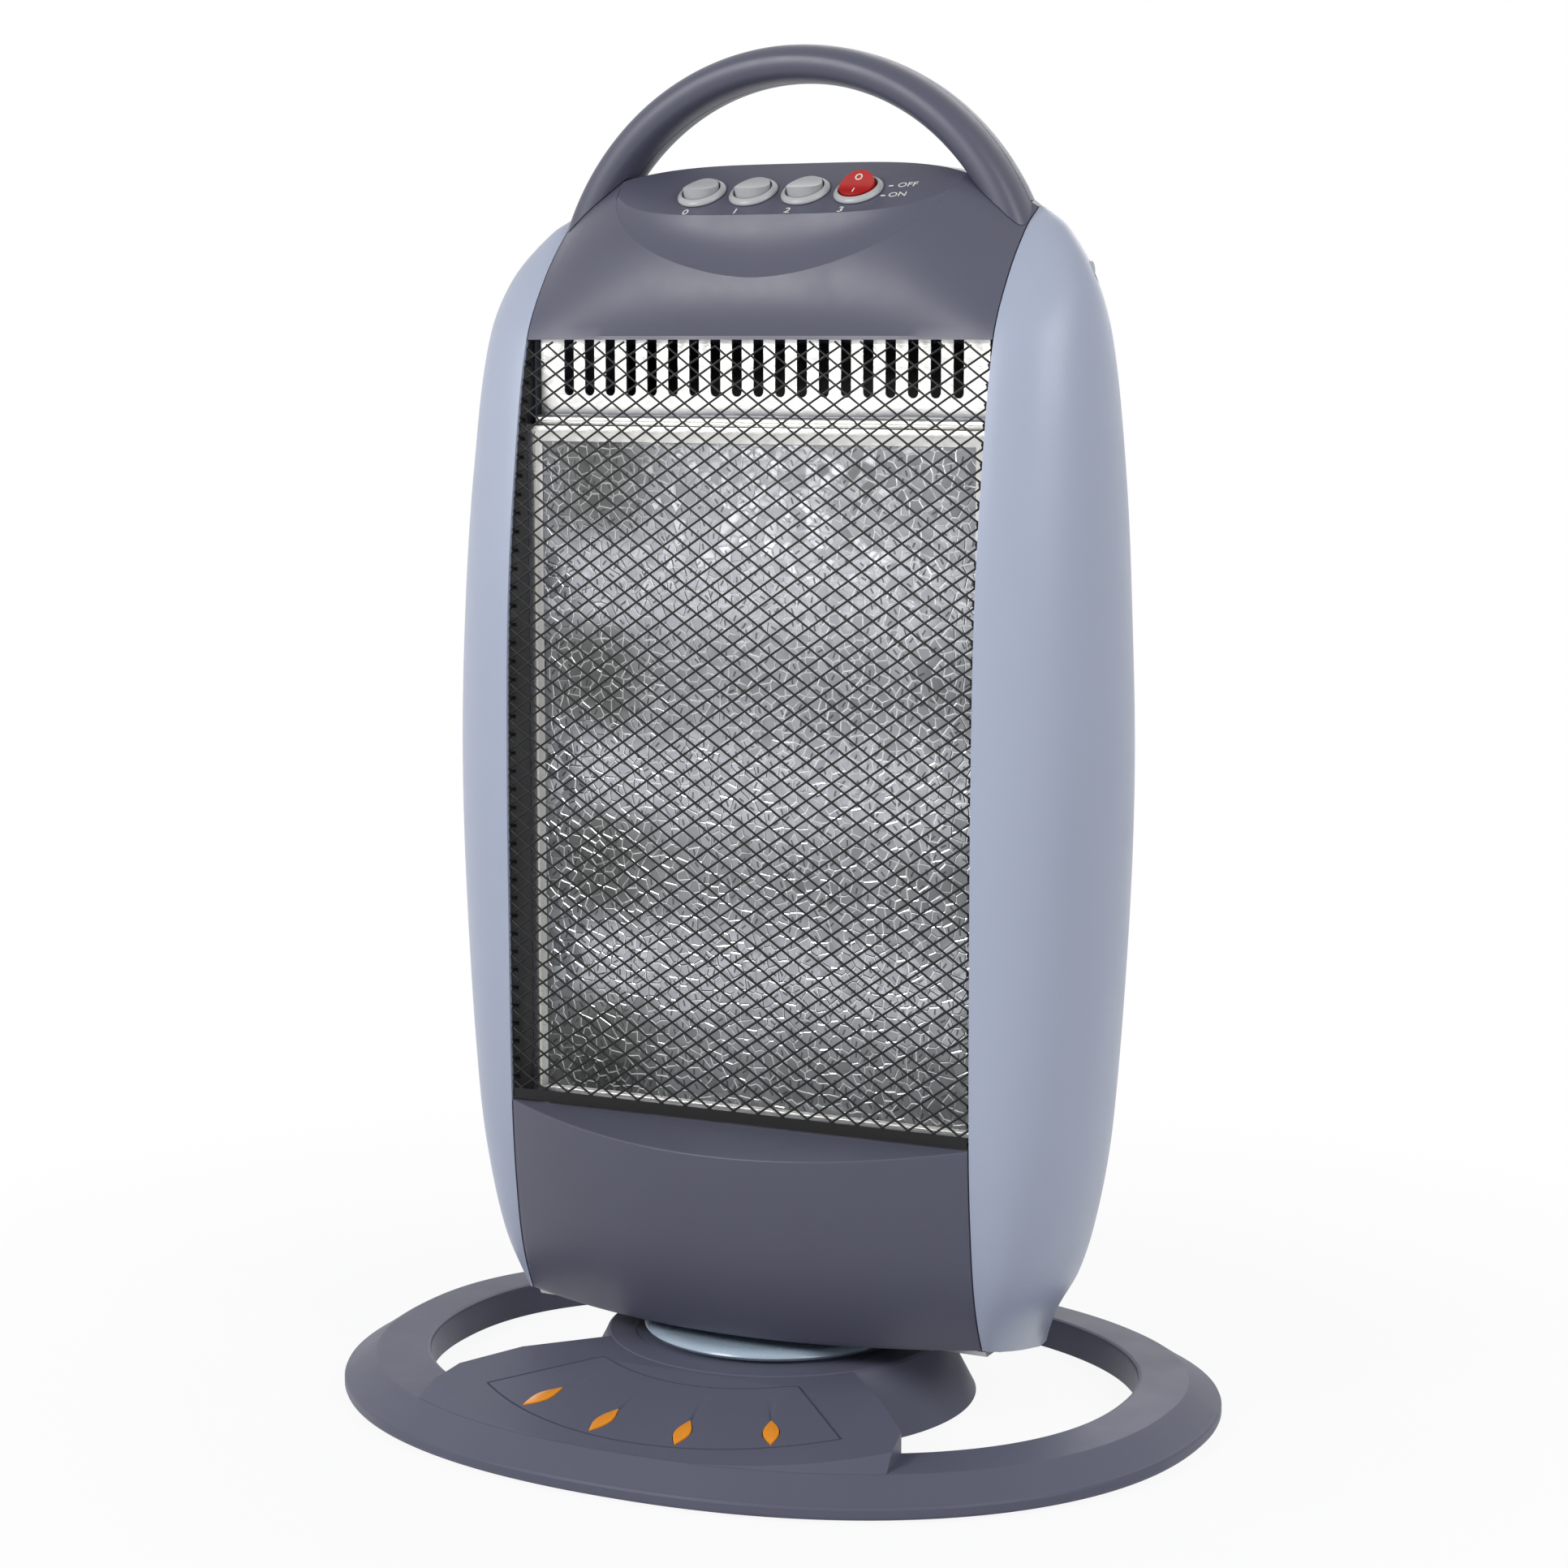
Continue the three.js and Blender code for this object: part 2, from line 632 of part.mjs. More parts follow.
for (let i = 0; i < LEAF_COUNT; i += 1) {
  add(`leaf_insert_${i + 1}`, leafSolid(i, 0, -1.4 + GAP, 0.5), 'amber_plastic');
}

const basePlateRadius = HUB_TOP_RADIUS - 2 * HUB_WALL - GAP;
add('base_plate', turned([
  [0, FLOOR_GAP + 0.5],
  [basePlateRadius, FLOOR_GAP + 0.5],
  [basePlateRadius, FLOOR_GAP + 2.5],
  [0, FLOOR_GAP + 2.5],
], SWIVEL_Y), 'steel');

// ---------------------------------------------------------------- swivel drive inside the hub

const motorY = SWIVEL_Y + CRANK_DISTANCE;
add('swing_motor', join(
  rod(MOTOR_RADIUS, FLOOR_GAP + 2.5 + GAP, MOTOR_TOP, 0, motorY, 28),
  rod(3, MOTOR_TOP - 1, MOTOR_TOP + 1.6, 0, motorY, 16),
), 'steel');

const crankBottom = MOTOR_TOP + GAP;
const crankTop = crankBottom + 1.8;
add('crank_disc', cut(
  join(
    rod(CRANK_THROW + 4, crankBottom, crankTop, 0, motorY, 28),
    rod(2, crankTop - 0.5, crankTop + 0.9, 0, motorY + CRANK_THROW, 12),
  ),
  rod(3 + GAP, crankBottom - 1, crankTop + 1, 0, motorY, 16),
), 'grey_plastic');

const leverBottom = crankTop + 1.2;
const leverTop = leverBottom + 2;
const leverHole = SPINDLE_RADIUS + GAP;

function makeLever() {
  const tip = CRANK_DISTANCE + CRANK_THROW;
  const plan = join(
    rod(SPINDLE_RADIUS + 6, leverBottom, leverTop, 0, SWIVEL_Y),
    block(-6, 6, SWIVEL_Y, SWIVEL_Y + tip, leverBottom, leverTop),
    rod(6, leverBottom, leverTop, 0, SWIVEL_Y + tip, 16),
  );
  const slot = join(
    block(-2.4, 2.4, SWIVEL_Y + CRANK_THROW + 3, SWIVEL_Y + tip, 0, 40),
    rod(2.4, 0, 40, 0, SWIVEL_Y + tip, 16),
  );
  return cut(plan, slot, rod(leverHole, 0, 40, 0, SWIVEL_Y));
}

add('swing_lever', makeLever(), 'steel');

const collarBottom = leverTop + GAP;
const collarTop = HUB_TOP - HUB_WALL - GAP;
add('retaining_collar', turned([
  [SPINDLE_RADIUS + GAP, collarBottom],
  [SPINDLE_RADIUS + 7, collarBottom],
  [SPINDLE_RADIUS + 7, collarTop],
  [SPINDLE_RADIUS + GAP, collarTop],
  [SPINDLE_RADIUS + GAP, collarBottom],
], SWIVEL_Y), 'steel');

add('pivot_bush', turned([
  [SPINDLE_RADIUS + GAP, HUB_TOP - HUB_WALL],
  [SPINDLE_RADIUS + 2.6, HUB_TOP - HUB_WALL],
  [SPINDLE_RADIUS + 2.6, HUB_TOP - 0.2],
  [SPINDLE_RADIUS + GAP, HUB_TOP - 0.2],
  [SPINDLE_RADIUS + GAP, HUB_TOP - HUB_WALL],
], SWIVEL_Y), 'grey_plastic');

const discBottom = HUB_TOP + GAP;
add('swivel_disc', turned([
  [SPINDLE_RADIUS + GAP, discBottom],
  [DISC_RADIUS - 1.5, discBottom],
  [DISC_RADIUS, discBottom + 1.2],
  [DISC_RADIUS - 0.4, DISC_TOP - 1.4],
  [DISC_RADIUS - 2.2, DISC_TOP],
  [SPINDLE_RADIUS + GAP, DISC_TOP],
  [SPINDLE_RADIUS + GAP, discBottom],
], SWIVEL_Y, 40), 'disc_plastic');

const floorBottom = DISC_TOP + GAP;
const floorTop = floorBottom + 2.2;
add('spindle', turned([
  [SPINDLE_BORE, leverBottom - 0.4],
  [SPINDLE_RADIUS, leverBottom - 0.4],
  [SPINDLE_RADIUS, floorTop + GAP],
  [SPINDLE_RADIUS + 6, floorTop + GAP],
  [SPINDLE_RADIUS + 6, floorTop + 3],
  [SPINDLE_BORE, floorTop + 3],
  [SPINDLE_BORE, leverBottom - 0.4],
], SWIVEL_Y), 'steel');

// ---------------------------------------------------------------- body shell pieces

const floorRoom = meet(
  bodyForm(WALL + 2 * GAP),
  block(-200, 200, FLOOR_FRONT_Y, 200, floorBottom, floorTop),
);
const webRoom = [-1, 1].map((side) => {
  const near = side * (SEAM_X - GAP);
  const far = side * 200;
  return block(Math.min(near, far), Math.max(near, far), -200, WEB_BACK_Y + GAP, 0, 60);
});
add('floor_plate', cut(floorRoom, ...webRoom, rod(SPINDLE_RADIUS + GAP, 0, 60, 0, SWIVEL_Y)), 'steel');

const SCREW_Z = 437;
const SCREW_Y = 20;
const SCREW_HOLE = 4.2;

function makeSidePanel(side) {
  const edge = SEAM_X + GAP / 2;
  const web = meet(shellOuter, block(edge, edge + 2, -200, WEB_BACK_Y, 0, 600));
  const skin = meet(shell, block(edge, 200, -200, SEAM_Y - GAP / 2, 0, 600));
  const screwHole = rodAlongX(SCREW_HOLE, SEAM_X + 6, 200, SCREW_Y, SCREW_Z, 20);
  const panel = cut(join(skin, web), underside, hubRoom, screwHole);
  return side > 0 ? panel : panel.mirror([1, 0, 0]);
}

add('side_panel_right', makeSidePanel(1), 'pale_plastic');
add('side_panel_left', makeSidePanel(-1), 'pale_plastic');

// Level vent slots across the rear cover, one above the other.
function rearVents(count, z0) {
  const slots = [];
  for (let i = 0; i < count; i += 1) {
    const z = z0 + VENT_PITCH * i;
    slots.push(block(-VENT_HALF_WIDTH, VENT_HALF_WIDTH, SEAM_Y + 5, 120, z, z + VENT_HEIGHT));
  }
  return slots;
}

function makeRearCover() {
  const skin = meet(shell, block(-200, 200, SEAM_Y + GAP / 2, 200, 0, 600));
  const glandHole = solid(
    new THREE.CylinderGeometry(GLAND_RADIUS + GAP, GLAND_RADIUS + GAP, 80, 24).translate(0, 60, GLAND_Z),
  );
  const vents = [...rearVents(VENT_COUNT, UPPER_VENT_Z), ...rearVents(VENT_COUNT, LOWER_VENT_Z)];
  return cut(skin, hubRoom, glandHole, ...vents);
}

add('rear_cover', makeRearCover(), 'rear_plastic');

add('cord_gland', solid(
  new THREE.LatheGeometry([
    new THREE.Vector2(4, -4),
    new THREE.Vector2(GLAND_RADIUS, -4),
    new THREE.Vector2(GLAND_RADIUS, 5),
    new THREE.Vector2(GLAND_RADIUS - 2, 8),
    new THREE.Vector2(4, 8),
    new THREE.Vector2(4, -4),
  ], 24).translate(0, WIDEST_Y + REAR_REACH * shellValue(3, shellHeight(GLAND_Z)), GLAND_Z),
), 'rubber');

// ---------------------------------------------------------------- top cover with its control panel

const panelCut = solid(onPanel(boxShape(-150, 150, -80, 60, 0, 90)));
const panelUnderside = solid(onPanel(boxShape(-150, 150, -80, 60, -WALL, 90)));

// A point of the hood's bowed front, from the height that it has before the crown lifts it.
function hoodPoint(x, level) {
  const section = shellSection(level);
  const point = new THREE.Vector3(x, section.centre - section.front, level);
  crown(point, section.centre);
  return point;
}

// The level at which the hood's front meets the control panel's plane.
function panelEdgeLevel(x) {
  const slope = Math.tan(degrees(PANEL_TILT));
  let low = WINDOW_TOP;
  let high = BODY_TOP;
  for (let i = 0; i < 30; i += 1) {
    const middle = (low + high) / 2;
    const point = hoodPoint(x, middle);
    if (point.z < PANEL_Z + (point.y - PANEL_Y) * slope) low = middle;
    else high = middle;
  }
  return low;
}

// The hollow runs from the panel's front edge down to a line that rises towards its two tips.
// extra moves its face back, for the inside of the wall.
function scoop(extra) {
  const steps = 6;
  const arc = [...Array(steps + 1).keys()].map((i) => [0, i / steps]);
  const geometry = prismAcross(outline([...arc, [1, 1], [1, 0]]), -SCOOP_HALF_WIDTH, SCOOP_HALF_WIDTH, 14);
  return solid(warp(geometry, (point) => {
    const { x, y: outwards, z: share } = point;
    const side = Math.abs(x) / SCOOP_HALF_WIDTH;
    const edge = panelEdgeLevel(x);
    const upper = hoodPoint(x, edge);
    const lower = hoodPoint(x, between(SCOOP_LOWEST, edge - 0.5, Math.min(1, side) ** 1.5));
    const chord = upper.clone().sub(lower);
    const front = new THREE.Vector3(0, -chord.z, chord.y).normalize();
    const hollow = extra + SCOOP_DEPTH * (1 - side ** 2) * 4 * share * (1 - share);
    point.copy(lower).addScaledVector(chord, share);
    point.addScaledVector(front, outwards > 0.5 ? SCOOP_REACH : -hollow);
  }));
}

function switchX(number) {
  return SWITCH_PITCH * (number - (SWITCH_COUNT - 1) / 2);
}

function makeTopCover() {
  const half = SEAM_X - GAP / 2;
  const region = block(-half, half, -200, SEAM_Y - GAP / 2, WINDOW_TOP, 600);
  const outside = cut(meet(shellOuter, region), panelCut, scoop(0));
  const inside = cut(
    meet(shellInner, block(-half + WALL, half - WALL, -200, 300, 0, 600)),
    panelUnderside,
    scoop(WALL),
  );
  const holes = [];
  for (let i = 0; i < SWITCH_COUNT; i += 1) {
    holes.push(solid(onPanel(rodShape(SWITCH_RADIUS + GAP, -30, 20, switchX(i), 0, 16))));
  }
  return cut(outside, inside, ...holes);
}

add('top_cover', makeTopCover(), 'dark_plastic');

for (let i = 0; i < SWITCH_COUNT; i += 1) {
  const x = switchX(i);
  const well = boxShape(
    x - ROCKER_HALF_WIDTH - GAP,
    x + ROCKER_HALF_WIDTH + GAP,
    -ROCKER_HALF_LENGTH - GAP,
    ROCKER_HALF_LENGTH + GAP,
    -4.5,
    20,
  );
  const bezel = new THREE.LatheGeometry([
    new THREE.Vector2(0, GAP),
    new THREE.Vector2(BEZEL_RADIUS, GAP),
    new THREE.Vector2(BEZEL_RADIUS, 1),
    new THREE.Vector2(BEZEL_RADIUS - 1.4, 2.2),
    new THREE.Vector2(0, 2.2),
  ], 16).rotateX(Math.PI / 2).translate(x, 0, 0);
  const housing = join(
    solid(onPanel(bezel)),
    solid(onPanel(rodShape(SWITCH_RADIUS, -16, 1, x, 0, 16))),
  );
  add(`switch_${i + 1}`, cut(housing, solid(onPanel(well))), 'grey_plastic');
}

// A rocker is a low V-shaped key, drawn level and turned to its rest tilt about the X axis.
function makeRocker(x, tilt) {
  const key = new THREE.Shape();
  key.moveTo(-ROCKER_HALF_LENGTH + 0.8, 0.4);
  key.lineTo(-ROCKER_HALF_LENGTH + 0.8, 2.6);
  key.quadraticCurveTo(0, 1.6, ROCKER_HALF_LENGTH - 0.8, 2.6);
  key.lineTo(ROCKER_HALF_LENGTH - 0.8, 0.4);
  key.lineTo(0, -2.4);
  const geometry = prismAcross(key, -ROCKER_HALF_WIDTH + 0.1, ROCKER_HALF_WIDTH - 0.1);
  geometry.rotateX(degrees(tilt)).translate(x, 0, 1);
  return solid(onPanel(geometry));
}

for (let i = 0; i < SWITCH_COUNT; i += 1) {
  const last = i === SWITCH_COUNT - 1;
  const tilt = last ? ROCKER_TILT : -ROCKER_TILT;
  add(`rocker_${i + 1}`, makeRocker(switchX(i), tilt), last ? 'red_plastic' : 'grey_plastic');
}

// ---------------------------------------------------------------- carrying handle

function handleHalf(front) {
  const half = HANDLE_DEPTH / 2;
  const thick = HANDLE_THICK / 2;
  const side = front ? -1 : 1;
  const near = (GAP / 2) * side;
  const far = half * side;
  const section = [
    [-thick, near],
    [-thick, far - 5 * side],
    [-thick + 2, far - 1.5 * side],
    [-thick + 5, far],
    [thick - 5, far],
    [thick - 2, far - 1.5 * side],
    [thick, far - 5 * side],
    [thick, near],
    [-thick, near],
  ];
  const profile = section.map(([r, y]) => new THREE.Vector2(HANDLE_RADIUS + r, y));
  const arch = solid(new THREE.LatheGeometry(profile, 56).translate(0, HANDLE_Y, HANDLE_Z));
  const above = meet(arch, block(-200, 200, -100, 100, BODY_TOP - 12, 700));
  return cut(above, shellOuter, shellOuter.translate([0, 0, GAP]));
}

add('handle_front', handleHalf(true), 'dark_plastic');
add('handle_rear', handleHalf(false), 'dark_plastic');

// ---------------------------------------------------------------- lower front cover

const sillZ = (x) => WINDOW_BOTTOM - SILL_SAG * (1 - (x / SEAM_X) ** 2);

// The front outline of the lower cover in X and Z, with its sagging top edge.
function lowerOutline(margin) {
  const half = SEAM_X - GAP / 2 - margin;
  const points = [[-half, FRONT_CORNER_Z + margin], [half, FRONT_CORNER_Z + margin]];
  const steps = 12;
  for (let i = 0; i <= steps; i += 1) {
    const x = between(half, -half, i / steps);
    points.push([x, sillZ(x) - margin]);
  }
  return outline(points);
}

// A bowed solid whose front follows the shell's profile, pushed out in the middle.
function lowerBow(margin, backY) {
  const half = SEAM_X + 5;
  const points = [[half, backY]];
  const steps = 16;
  for (let i = 0; i <= steps; i += 1) {
    const x = between(half, -half, i / steps);
    const bow = LOWER_BULGE * Math.max(0, 1 - (x / SEAM_X) ** 2);
    points.push([x, frontY(WINDOW_BOTTOM) - bow + margin]);
  }
  points.push([-half, backY]);
  const geometry = prismUp(outline(points), FRONT_CORNER_Z - 10, WINDOW_BOTTOM + 10, 10);
  return solid(warp(geometry, (point) => {
    if (point.y < backY - 1) point.y += frontY(point.z) - frontY(WINDOW_BOTTOM);
  }));
}

function makeLowerCover() {
  const backY = FLOOR_FRONT_Y - GAP;
  const outside = meet(solid(prismBack(lowerOutline(0), -150, 50)), lowerBow(0, backY));
  const inside = meet(solid(prismBack(lowerOutline(WALL), -150, 50)), lowerBow(WALL, backY + 20));
  return cut(outside, inside);
}

add('lower_cover', makeLowerCover(), 'dark_plastic');

// ---------------------------------------------------------------- window

// The guard: diamonds cut from a thin sheet, which then takes the bowed profile of the front.
function makeGuard() {
  const half = SEAM_X - 2 * GAP;
  const top = WINDOW_TOP - GAP;
  const margin = 3;
  const shape = new THREE.Shape();
  const steps = 18;
  for (let i = 0; i <= steps; i += 1) {
    const x = between(-half, half, i / steps);
    if (i === 0) shape.moveTo(x, sillZ(x) + 2 * GAP);
    else shape.lineTo(x, sillZ(x) + 2 * GAP);
  }
  for (let i = 0; i <= steps; i += 1) {
    shape.lineTo(half, between(WINDOW_BOTTOM + 1, top, (i + 1) / (steps + 1)));
  }
  for (let i = 0; i < steps; i += 1) shape.lineTo(-half, between(top, WINDOW_BOTTOM + 1, i / steps));
  const width = (2 * (half - margin)) / NET_COLUMNS;
  const height = (top - margin - WINDOW_BOTTOM - margin) / NET_ROWS;
  const wide = width / 2 - NET_WIRE / 2;
  const tall = height / 2 - NET_WIRE / 4;
  for (let row = 0; row < 2 * NET_ROWS - 1; row += 1) {
    const odd = row % 2;
    const z = WINDOW_BOTTOM + margin + (height * (row + 1)) / 2;
    for (let column = 0; column < NET_COLUMNS - odd; column += 1) {
      const x = -half + margin + width * (column + 0.5 + odd / 2);
      const hole = new THREE.Path();
      hole.moveTo(x, z - tall);
      hole.lineTo(x - wide, z);
      hole.lineTo(x, z + tall);
      hole.lineTo(x + wide, z);
      shape.holes.push(hole);
    }
  }
  const geometry = prismBack(shape, 0, NET_THICKNESS);
  return solid(warp(geometry, (point) => {
    point.y += frontY(Math.max(point.z, WINDOW_BOTTOM)) + 0.5;
  }));
}

add('guard_net', makeGuard(), 'black_wire');

add('glass_pane', block(
  -PANE_HALF_WIDTH,
  PANE_HALF_WIDTH,
  PANE_Y,
  PANE_Y + PANE_THICKNESS,
  PANE_BOTTOM,
  PANE_TOP,
), 'pane_glass');

const frameFront = PANE_Y - 1 - GAP;
const frameBack = frameFront + FRAME_DEPTH;
const frameBottom = WINDOW_BOTTOM + GAP;

function makeFrame() {
  const half = SEAM_X - GAP;
  const reveal = PANE_HALF_WIDTH - 1.2;
  const outside = block(-half, half, frameFront, frameBack, frameBottom, FRAME_TOP);
  const sight = block(-reveal, reveal, -100, 100, PANE_BOTTOM + 0.8, PANE_TOP - 1);
  const rebate = block(
    -PANE_HALF_WIDTH - GAP,
    PANE_HALF_WIDTH + GAP,
    PANE_Y - GAP,
    100,
    PANE_BOTTOM - GAP,
    PANE_TOP + GAP,
  );
  return cut(outside, sight, rebate);
}

add('glass_frame', makeFrame(), 'bright_sheet');

const ventY = -19.2;

function makeVentPlate() {
  const half = SEAM_X - GAP / 2 - WALL - GAP;
  const shape = outline([
    [-half, FRAME_TOP + GAP],
    [half, FRAME_TOP + GAP],
    [half, WINDOW_TOP + 4],
    [-half, WINDOW_TOP + 4],
  ]);
  for (let i = 0; i < SLOT_COUNT; i += 1) {
    const x = SLOT_PITCH * (i - (SLOT_COUNT - 1) / 2);
    const slot = new THREE.Path();
    slot.moveTo(x - SLOT_WIDTH / 2, WINDOW_TOP + 1);
    slot.lineTo(x - SLOT_WIDTH / 2, SLOT_BOTTOM + 1.2);
    slot.lineTo(x - SLOT_WIDTH / 4, SLOT_BOTTOM);
    slot.lineTo(x + SLOT_WIDTH / 4, SLOT_BOTTOM);
    slot.lineTo(x + SLOT_WIDTH / 2, SLOT_BOTTOM + 1.2);
    slot.lineTo(x + SLOT_WIDTH / 2, WINDOW_TOP + 1);
    shape.holes.push(slot);
  }
  return solid(prismBack(shape, ventY, ventY + SHEET));
}

add('vent_plate', makeVentPlate(), 'bright_sheet');

// ---------------------------------------------------------------- heating elements

const tubeZ = (number) => TUBE_MIDDLE_Z + TUBE_PITCH * (number - (TUBE_COUNT - 1) / 2);
const reflectorFront = frameBack + GAP;
const reflectorHalf = END_PLATE_X - GAP;

// One curved trough behind each tube, in the YZ plane, shifted back by an offset.
function reflectorLine(offset) {
  const points = [[reflectorFront + 3 + offset, PANE_BOTTOM + 1]];
  const steps = 10;
  for (let tube = 0; tube < TUBE_COUNT; tube += 1) {
    for (let i = tube === 0 ? 0 : 1; i <= steps; i += 1) {
      const across = (2 * i) / steps - 1;
      const y = reflectorFront + 3 + TROUGH_DEPTH * (1 - across ** 2);
      points.push([y + offset, tubeZ(tube) + (across * TUBE_PITCH) / 2]);
    }
  }
  points.push([reflectorFront + 3 + offset, PANE_TOP - 1]);
  return points;
}

function makeReflector() {
  const shape = outline([...reflectorLine(0), ...reflectorLine(SHEET).reverse()]);
  return solid(prismAcross(shape, -reflectorHalf, reflectorHalf));
}

add('reflector', makeReflector(), 'reflector_sheet');

const endPlateBack = reflectorFront + TROUGH_DEPTH + 10;

function makeEndPlate(side) {
  const plate = block(
    END_PLATE_X,
    END_PLATE_X + 1.5,
    reflectorFront,
    endPlateBack,
    PANE_BOTTOM,
    PANE_TOP,
  );
  const holes = [...Array(TUBE_COUNT).keys()].map((i) => (
    rodAlongX(CAP_RADIUS + GAP, END_PLATE_X - 5, END_PLATE_X + 10, TUBE_Y, tubeZ(i))
  ));
  const done = cut(plate, ...holes);
  return side > 0 ? done : done.mirror([1, 0, 0]);
}

add('end_plate_right', makeEndPlate(1), 'bright_sheet');
add('end_plate_left', makeEndPlate(-1), 'bright_sheet');

function makeCap(side, z) {
  const done = cut(
    rodAlongX(CAP_RADIUS, CAP_INNER_X, SEAM_X - GAP, TUBE_Y, z),
    rodAlongX(TUBE_RADIUS + GAP, CAP_INNER_X - 1, TUBE_HALF_LENGTH + GAP, TUBE_Y, z),
  );
  return side > 0 ? done : done.mirror([1, 0, 0]);
}

for (let i = 0; i < TUBE_COUNT; i += 1) {
  const z = tubeZ(i);
  const tube = rodAlongX(TUBE_RADIUS, -TUBE_HALF_LENGTH, TUBE_HALF_LENGTH, TUBE_Y, z);
  add(`halogen_tube_${i + 1}`, tube, 'tube_glass');
  add(`tube_cap_${i + 1}_right`, makeCap(1, z), 'ceramic');
  add(`tube_cap_${i + 1}_left`, makeCap(-1, z), 'ceramic');
}

// ---------------------------------------------------------------- small electrical pieces

const cutoutY = reflectorFront + 3 + TROUGH_DEPTH + SHEET + GAP;
add('thermal_cutout', solid(
  new THREE.CylinderGeometry(8, 8, 6, 24).translate(30, cutoutY + 3, tubeZ(TUBE_COUNT - 1)),
), 'black_plastic');

add('terminal_block', block(-60, -30, 5, 20, floorTop + GAP, floorTop + 15), 'ceramic');
add('tip_over_switch', block(30, 58, -5, 15, floorTop + GAP, floorTop + 22), 'black_plastic');

for (const [name, side] of [['right', 1], ['left', -1]]) {
  const section = shellSection(SCREW_Z);
  const reach = SEAM_X + section.side;
  const screw = rodAlongX(SCREW_HOLE - GAP, SEAM_X + 8, reach - 2.5, SCREW_Y, SCREW_Z, 20);
  add(`panel_screw_${name}`, side > 0 ? screw : screw.mirror([1, 0, 0]), 'steel');
}

export default heater;
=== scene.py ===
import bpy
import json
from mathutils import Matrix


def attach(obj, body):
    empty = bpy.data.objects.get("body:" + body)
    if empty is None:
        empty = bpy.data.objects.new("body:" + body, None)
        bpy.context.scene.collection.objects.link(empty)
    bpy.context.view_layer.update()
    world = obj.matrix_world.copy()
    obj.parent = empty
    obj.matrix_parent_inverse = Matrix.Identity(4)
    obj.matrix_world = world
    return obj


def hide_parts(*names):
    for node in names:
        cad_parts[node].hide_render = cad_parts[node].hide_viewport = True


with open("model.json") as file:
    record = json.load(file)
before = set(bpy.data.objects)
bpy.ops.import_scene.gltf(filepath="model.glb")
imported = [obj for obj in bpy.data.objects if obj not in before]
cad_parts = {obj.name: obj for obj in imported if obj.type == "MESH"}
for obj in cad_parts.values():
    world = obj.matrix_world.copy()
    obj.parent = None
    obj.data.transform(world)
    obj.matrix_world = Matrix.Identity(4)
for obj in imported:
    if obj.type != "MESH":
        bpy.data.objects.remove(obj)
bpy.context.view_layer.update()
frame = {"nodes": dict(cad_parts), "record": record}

import json
from contextlib import contextmanager
from functools import partial, partialmethod
from math import atan, atan2, copysign, cos, pi, radians, sin, tan

import bmesh
import bpy
from bpy.props import FloatProperty, FloatVectorProperty, IntProperty, PointerProperty
from mathutils import Matrix, Vector

bl_info = {
    "name": "Halogen heater",
    "version": (1, 0, 0),
    "blender": (4, 5, 0),
    "location": "View3D > Sidebar > Heater",
    "description": "Builds an upright halogen heater on an oval ring base over its packed frame",
    "category": "Object",
}

# --- sizes and colours


def entry(key, value, text):
    """A property from its default: a length, a count, a colour's six-digit code or, for a tilt, degrees."""
    facts = {"name": key.replace("_", " ").capitalize(), "description": text}
    if isinstance(value, str):
        parts = [int(value[i:i + 2], 16) / 255 for i in (0, 2, 4)]
        linear = [((part + 0.055) / 1.055) ** 2.4 if part > 0.04045 else part / 12.92 for part in parts]
        return FloatVectorProperty(subtype="COLOR", size=4, min=0, max=1, default=(*linear, 1), **facts)
    if isinstance(value, int):
        return IntProperty(default=value, min=1, max=200, **facts)
    if key.endswith("_tilt"):
        return FloatProperty(default=radians(value), subtype="ANGLE", **facts)
    return FloatProperty(default=value, unit="LENGTH", precision=4, **facts)


def entries(**rows):
    return {key: entry(key, *row) for key, row in rows.items()}


class HeaterBodySizes(bpy.types.PropertyGroup):
    __annotations__ = entries(
        bottom=(0.021, "Height of the skirt's lower edge"),
        top=(0.461, "Height where the side panels close"),
        half_width=(0.1385, "Half of the body's greatest width"),
        seam_x=(0.0975, "Distance of the side panels' seams from the middle"),
        seam_y=(0.030, "Depth of the seam in front of the rear cover"),
        widest_y=(0.008, "Depth at which the body is widest"),
        front_reach=(0.051, "How far the front bows forward"),
        rear_reach=(0.050, "How far the rear bows back"),
        tip_y=(0.021, "Depth at which the shell closes at the top"),
        crown_rise=(0.018, "Lift of the top between the side panels"),
        wall=(0.0024, "Thickness of the moulded shells"),
        gap=(0.0005, "Play between neighbouring pieces"),
    )


class HeaterBaseSizes(bpy.types.PropertyGroup):
    __annotations__ = entries(
        half_width=(0.176, "Half of the base's width"),
        front_depth=(0.1476, "Reach of the base in front of its widest point"),
        rear_depth=(0.130, "Reach of the base behind its widest point"),
        ring_top=(0.014, "Height of the ring's flat top"),
        lip_top=(0.0065, "Height of the ring's upright rim"),
        bevel=(0.0125, "Width of the ring's sloping band"),
        swivel_y=(-0.004, "Depth of the swivel axis"),
        hub_radius=(0.079, "Radius of the hub at the floor"),
        hub_top_radius=(0.067, "Radius of the hub at its top"),
        hub_top=(0.026, "Height of the hub"),
        disc_radius=(0.052, "Radius of the swivel disc"),
        leaf_count=(4, "Number of leaf inserts"),
    )


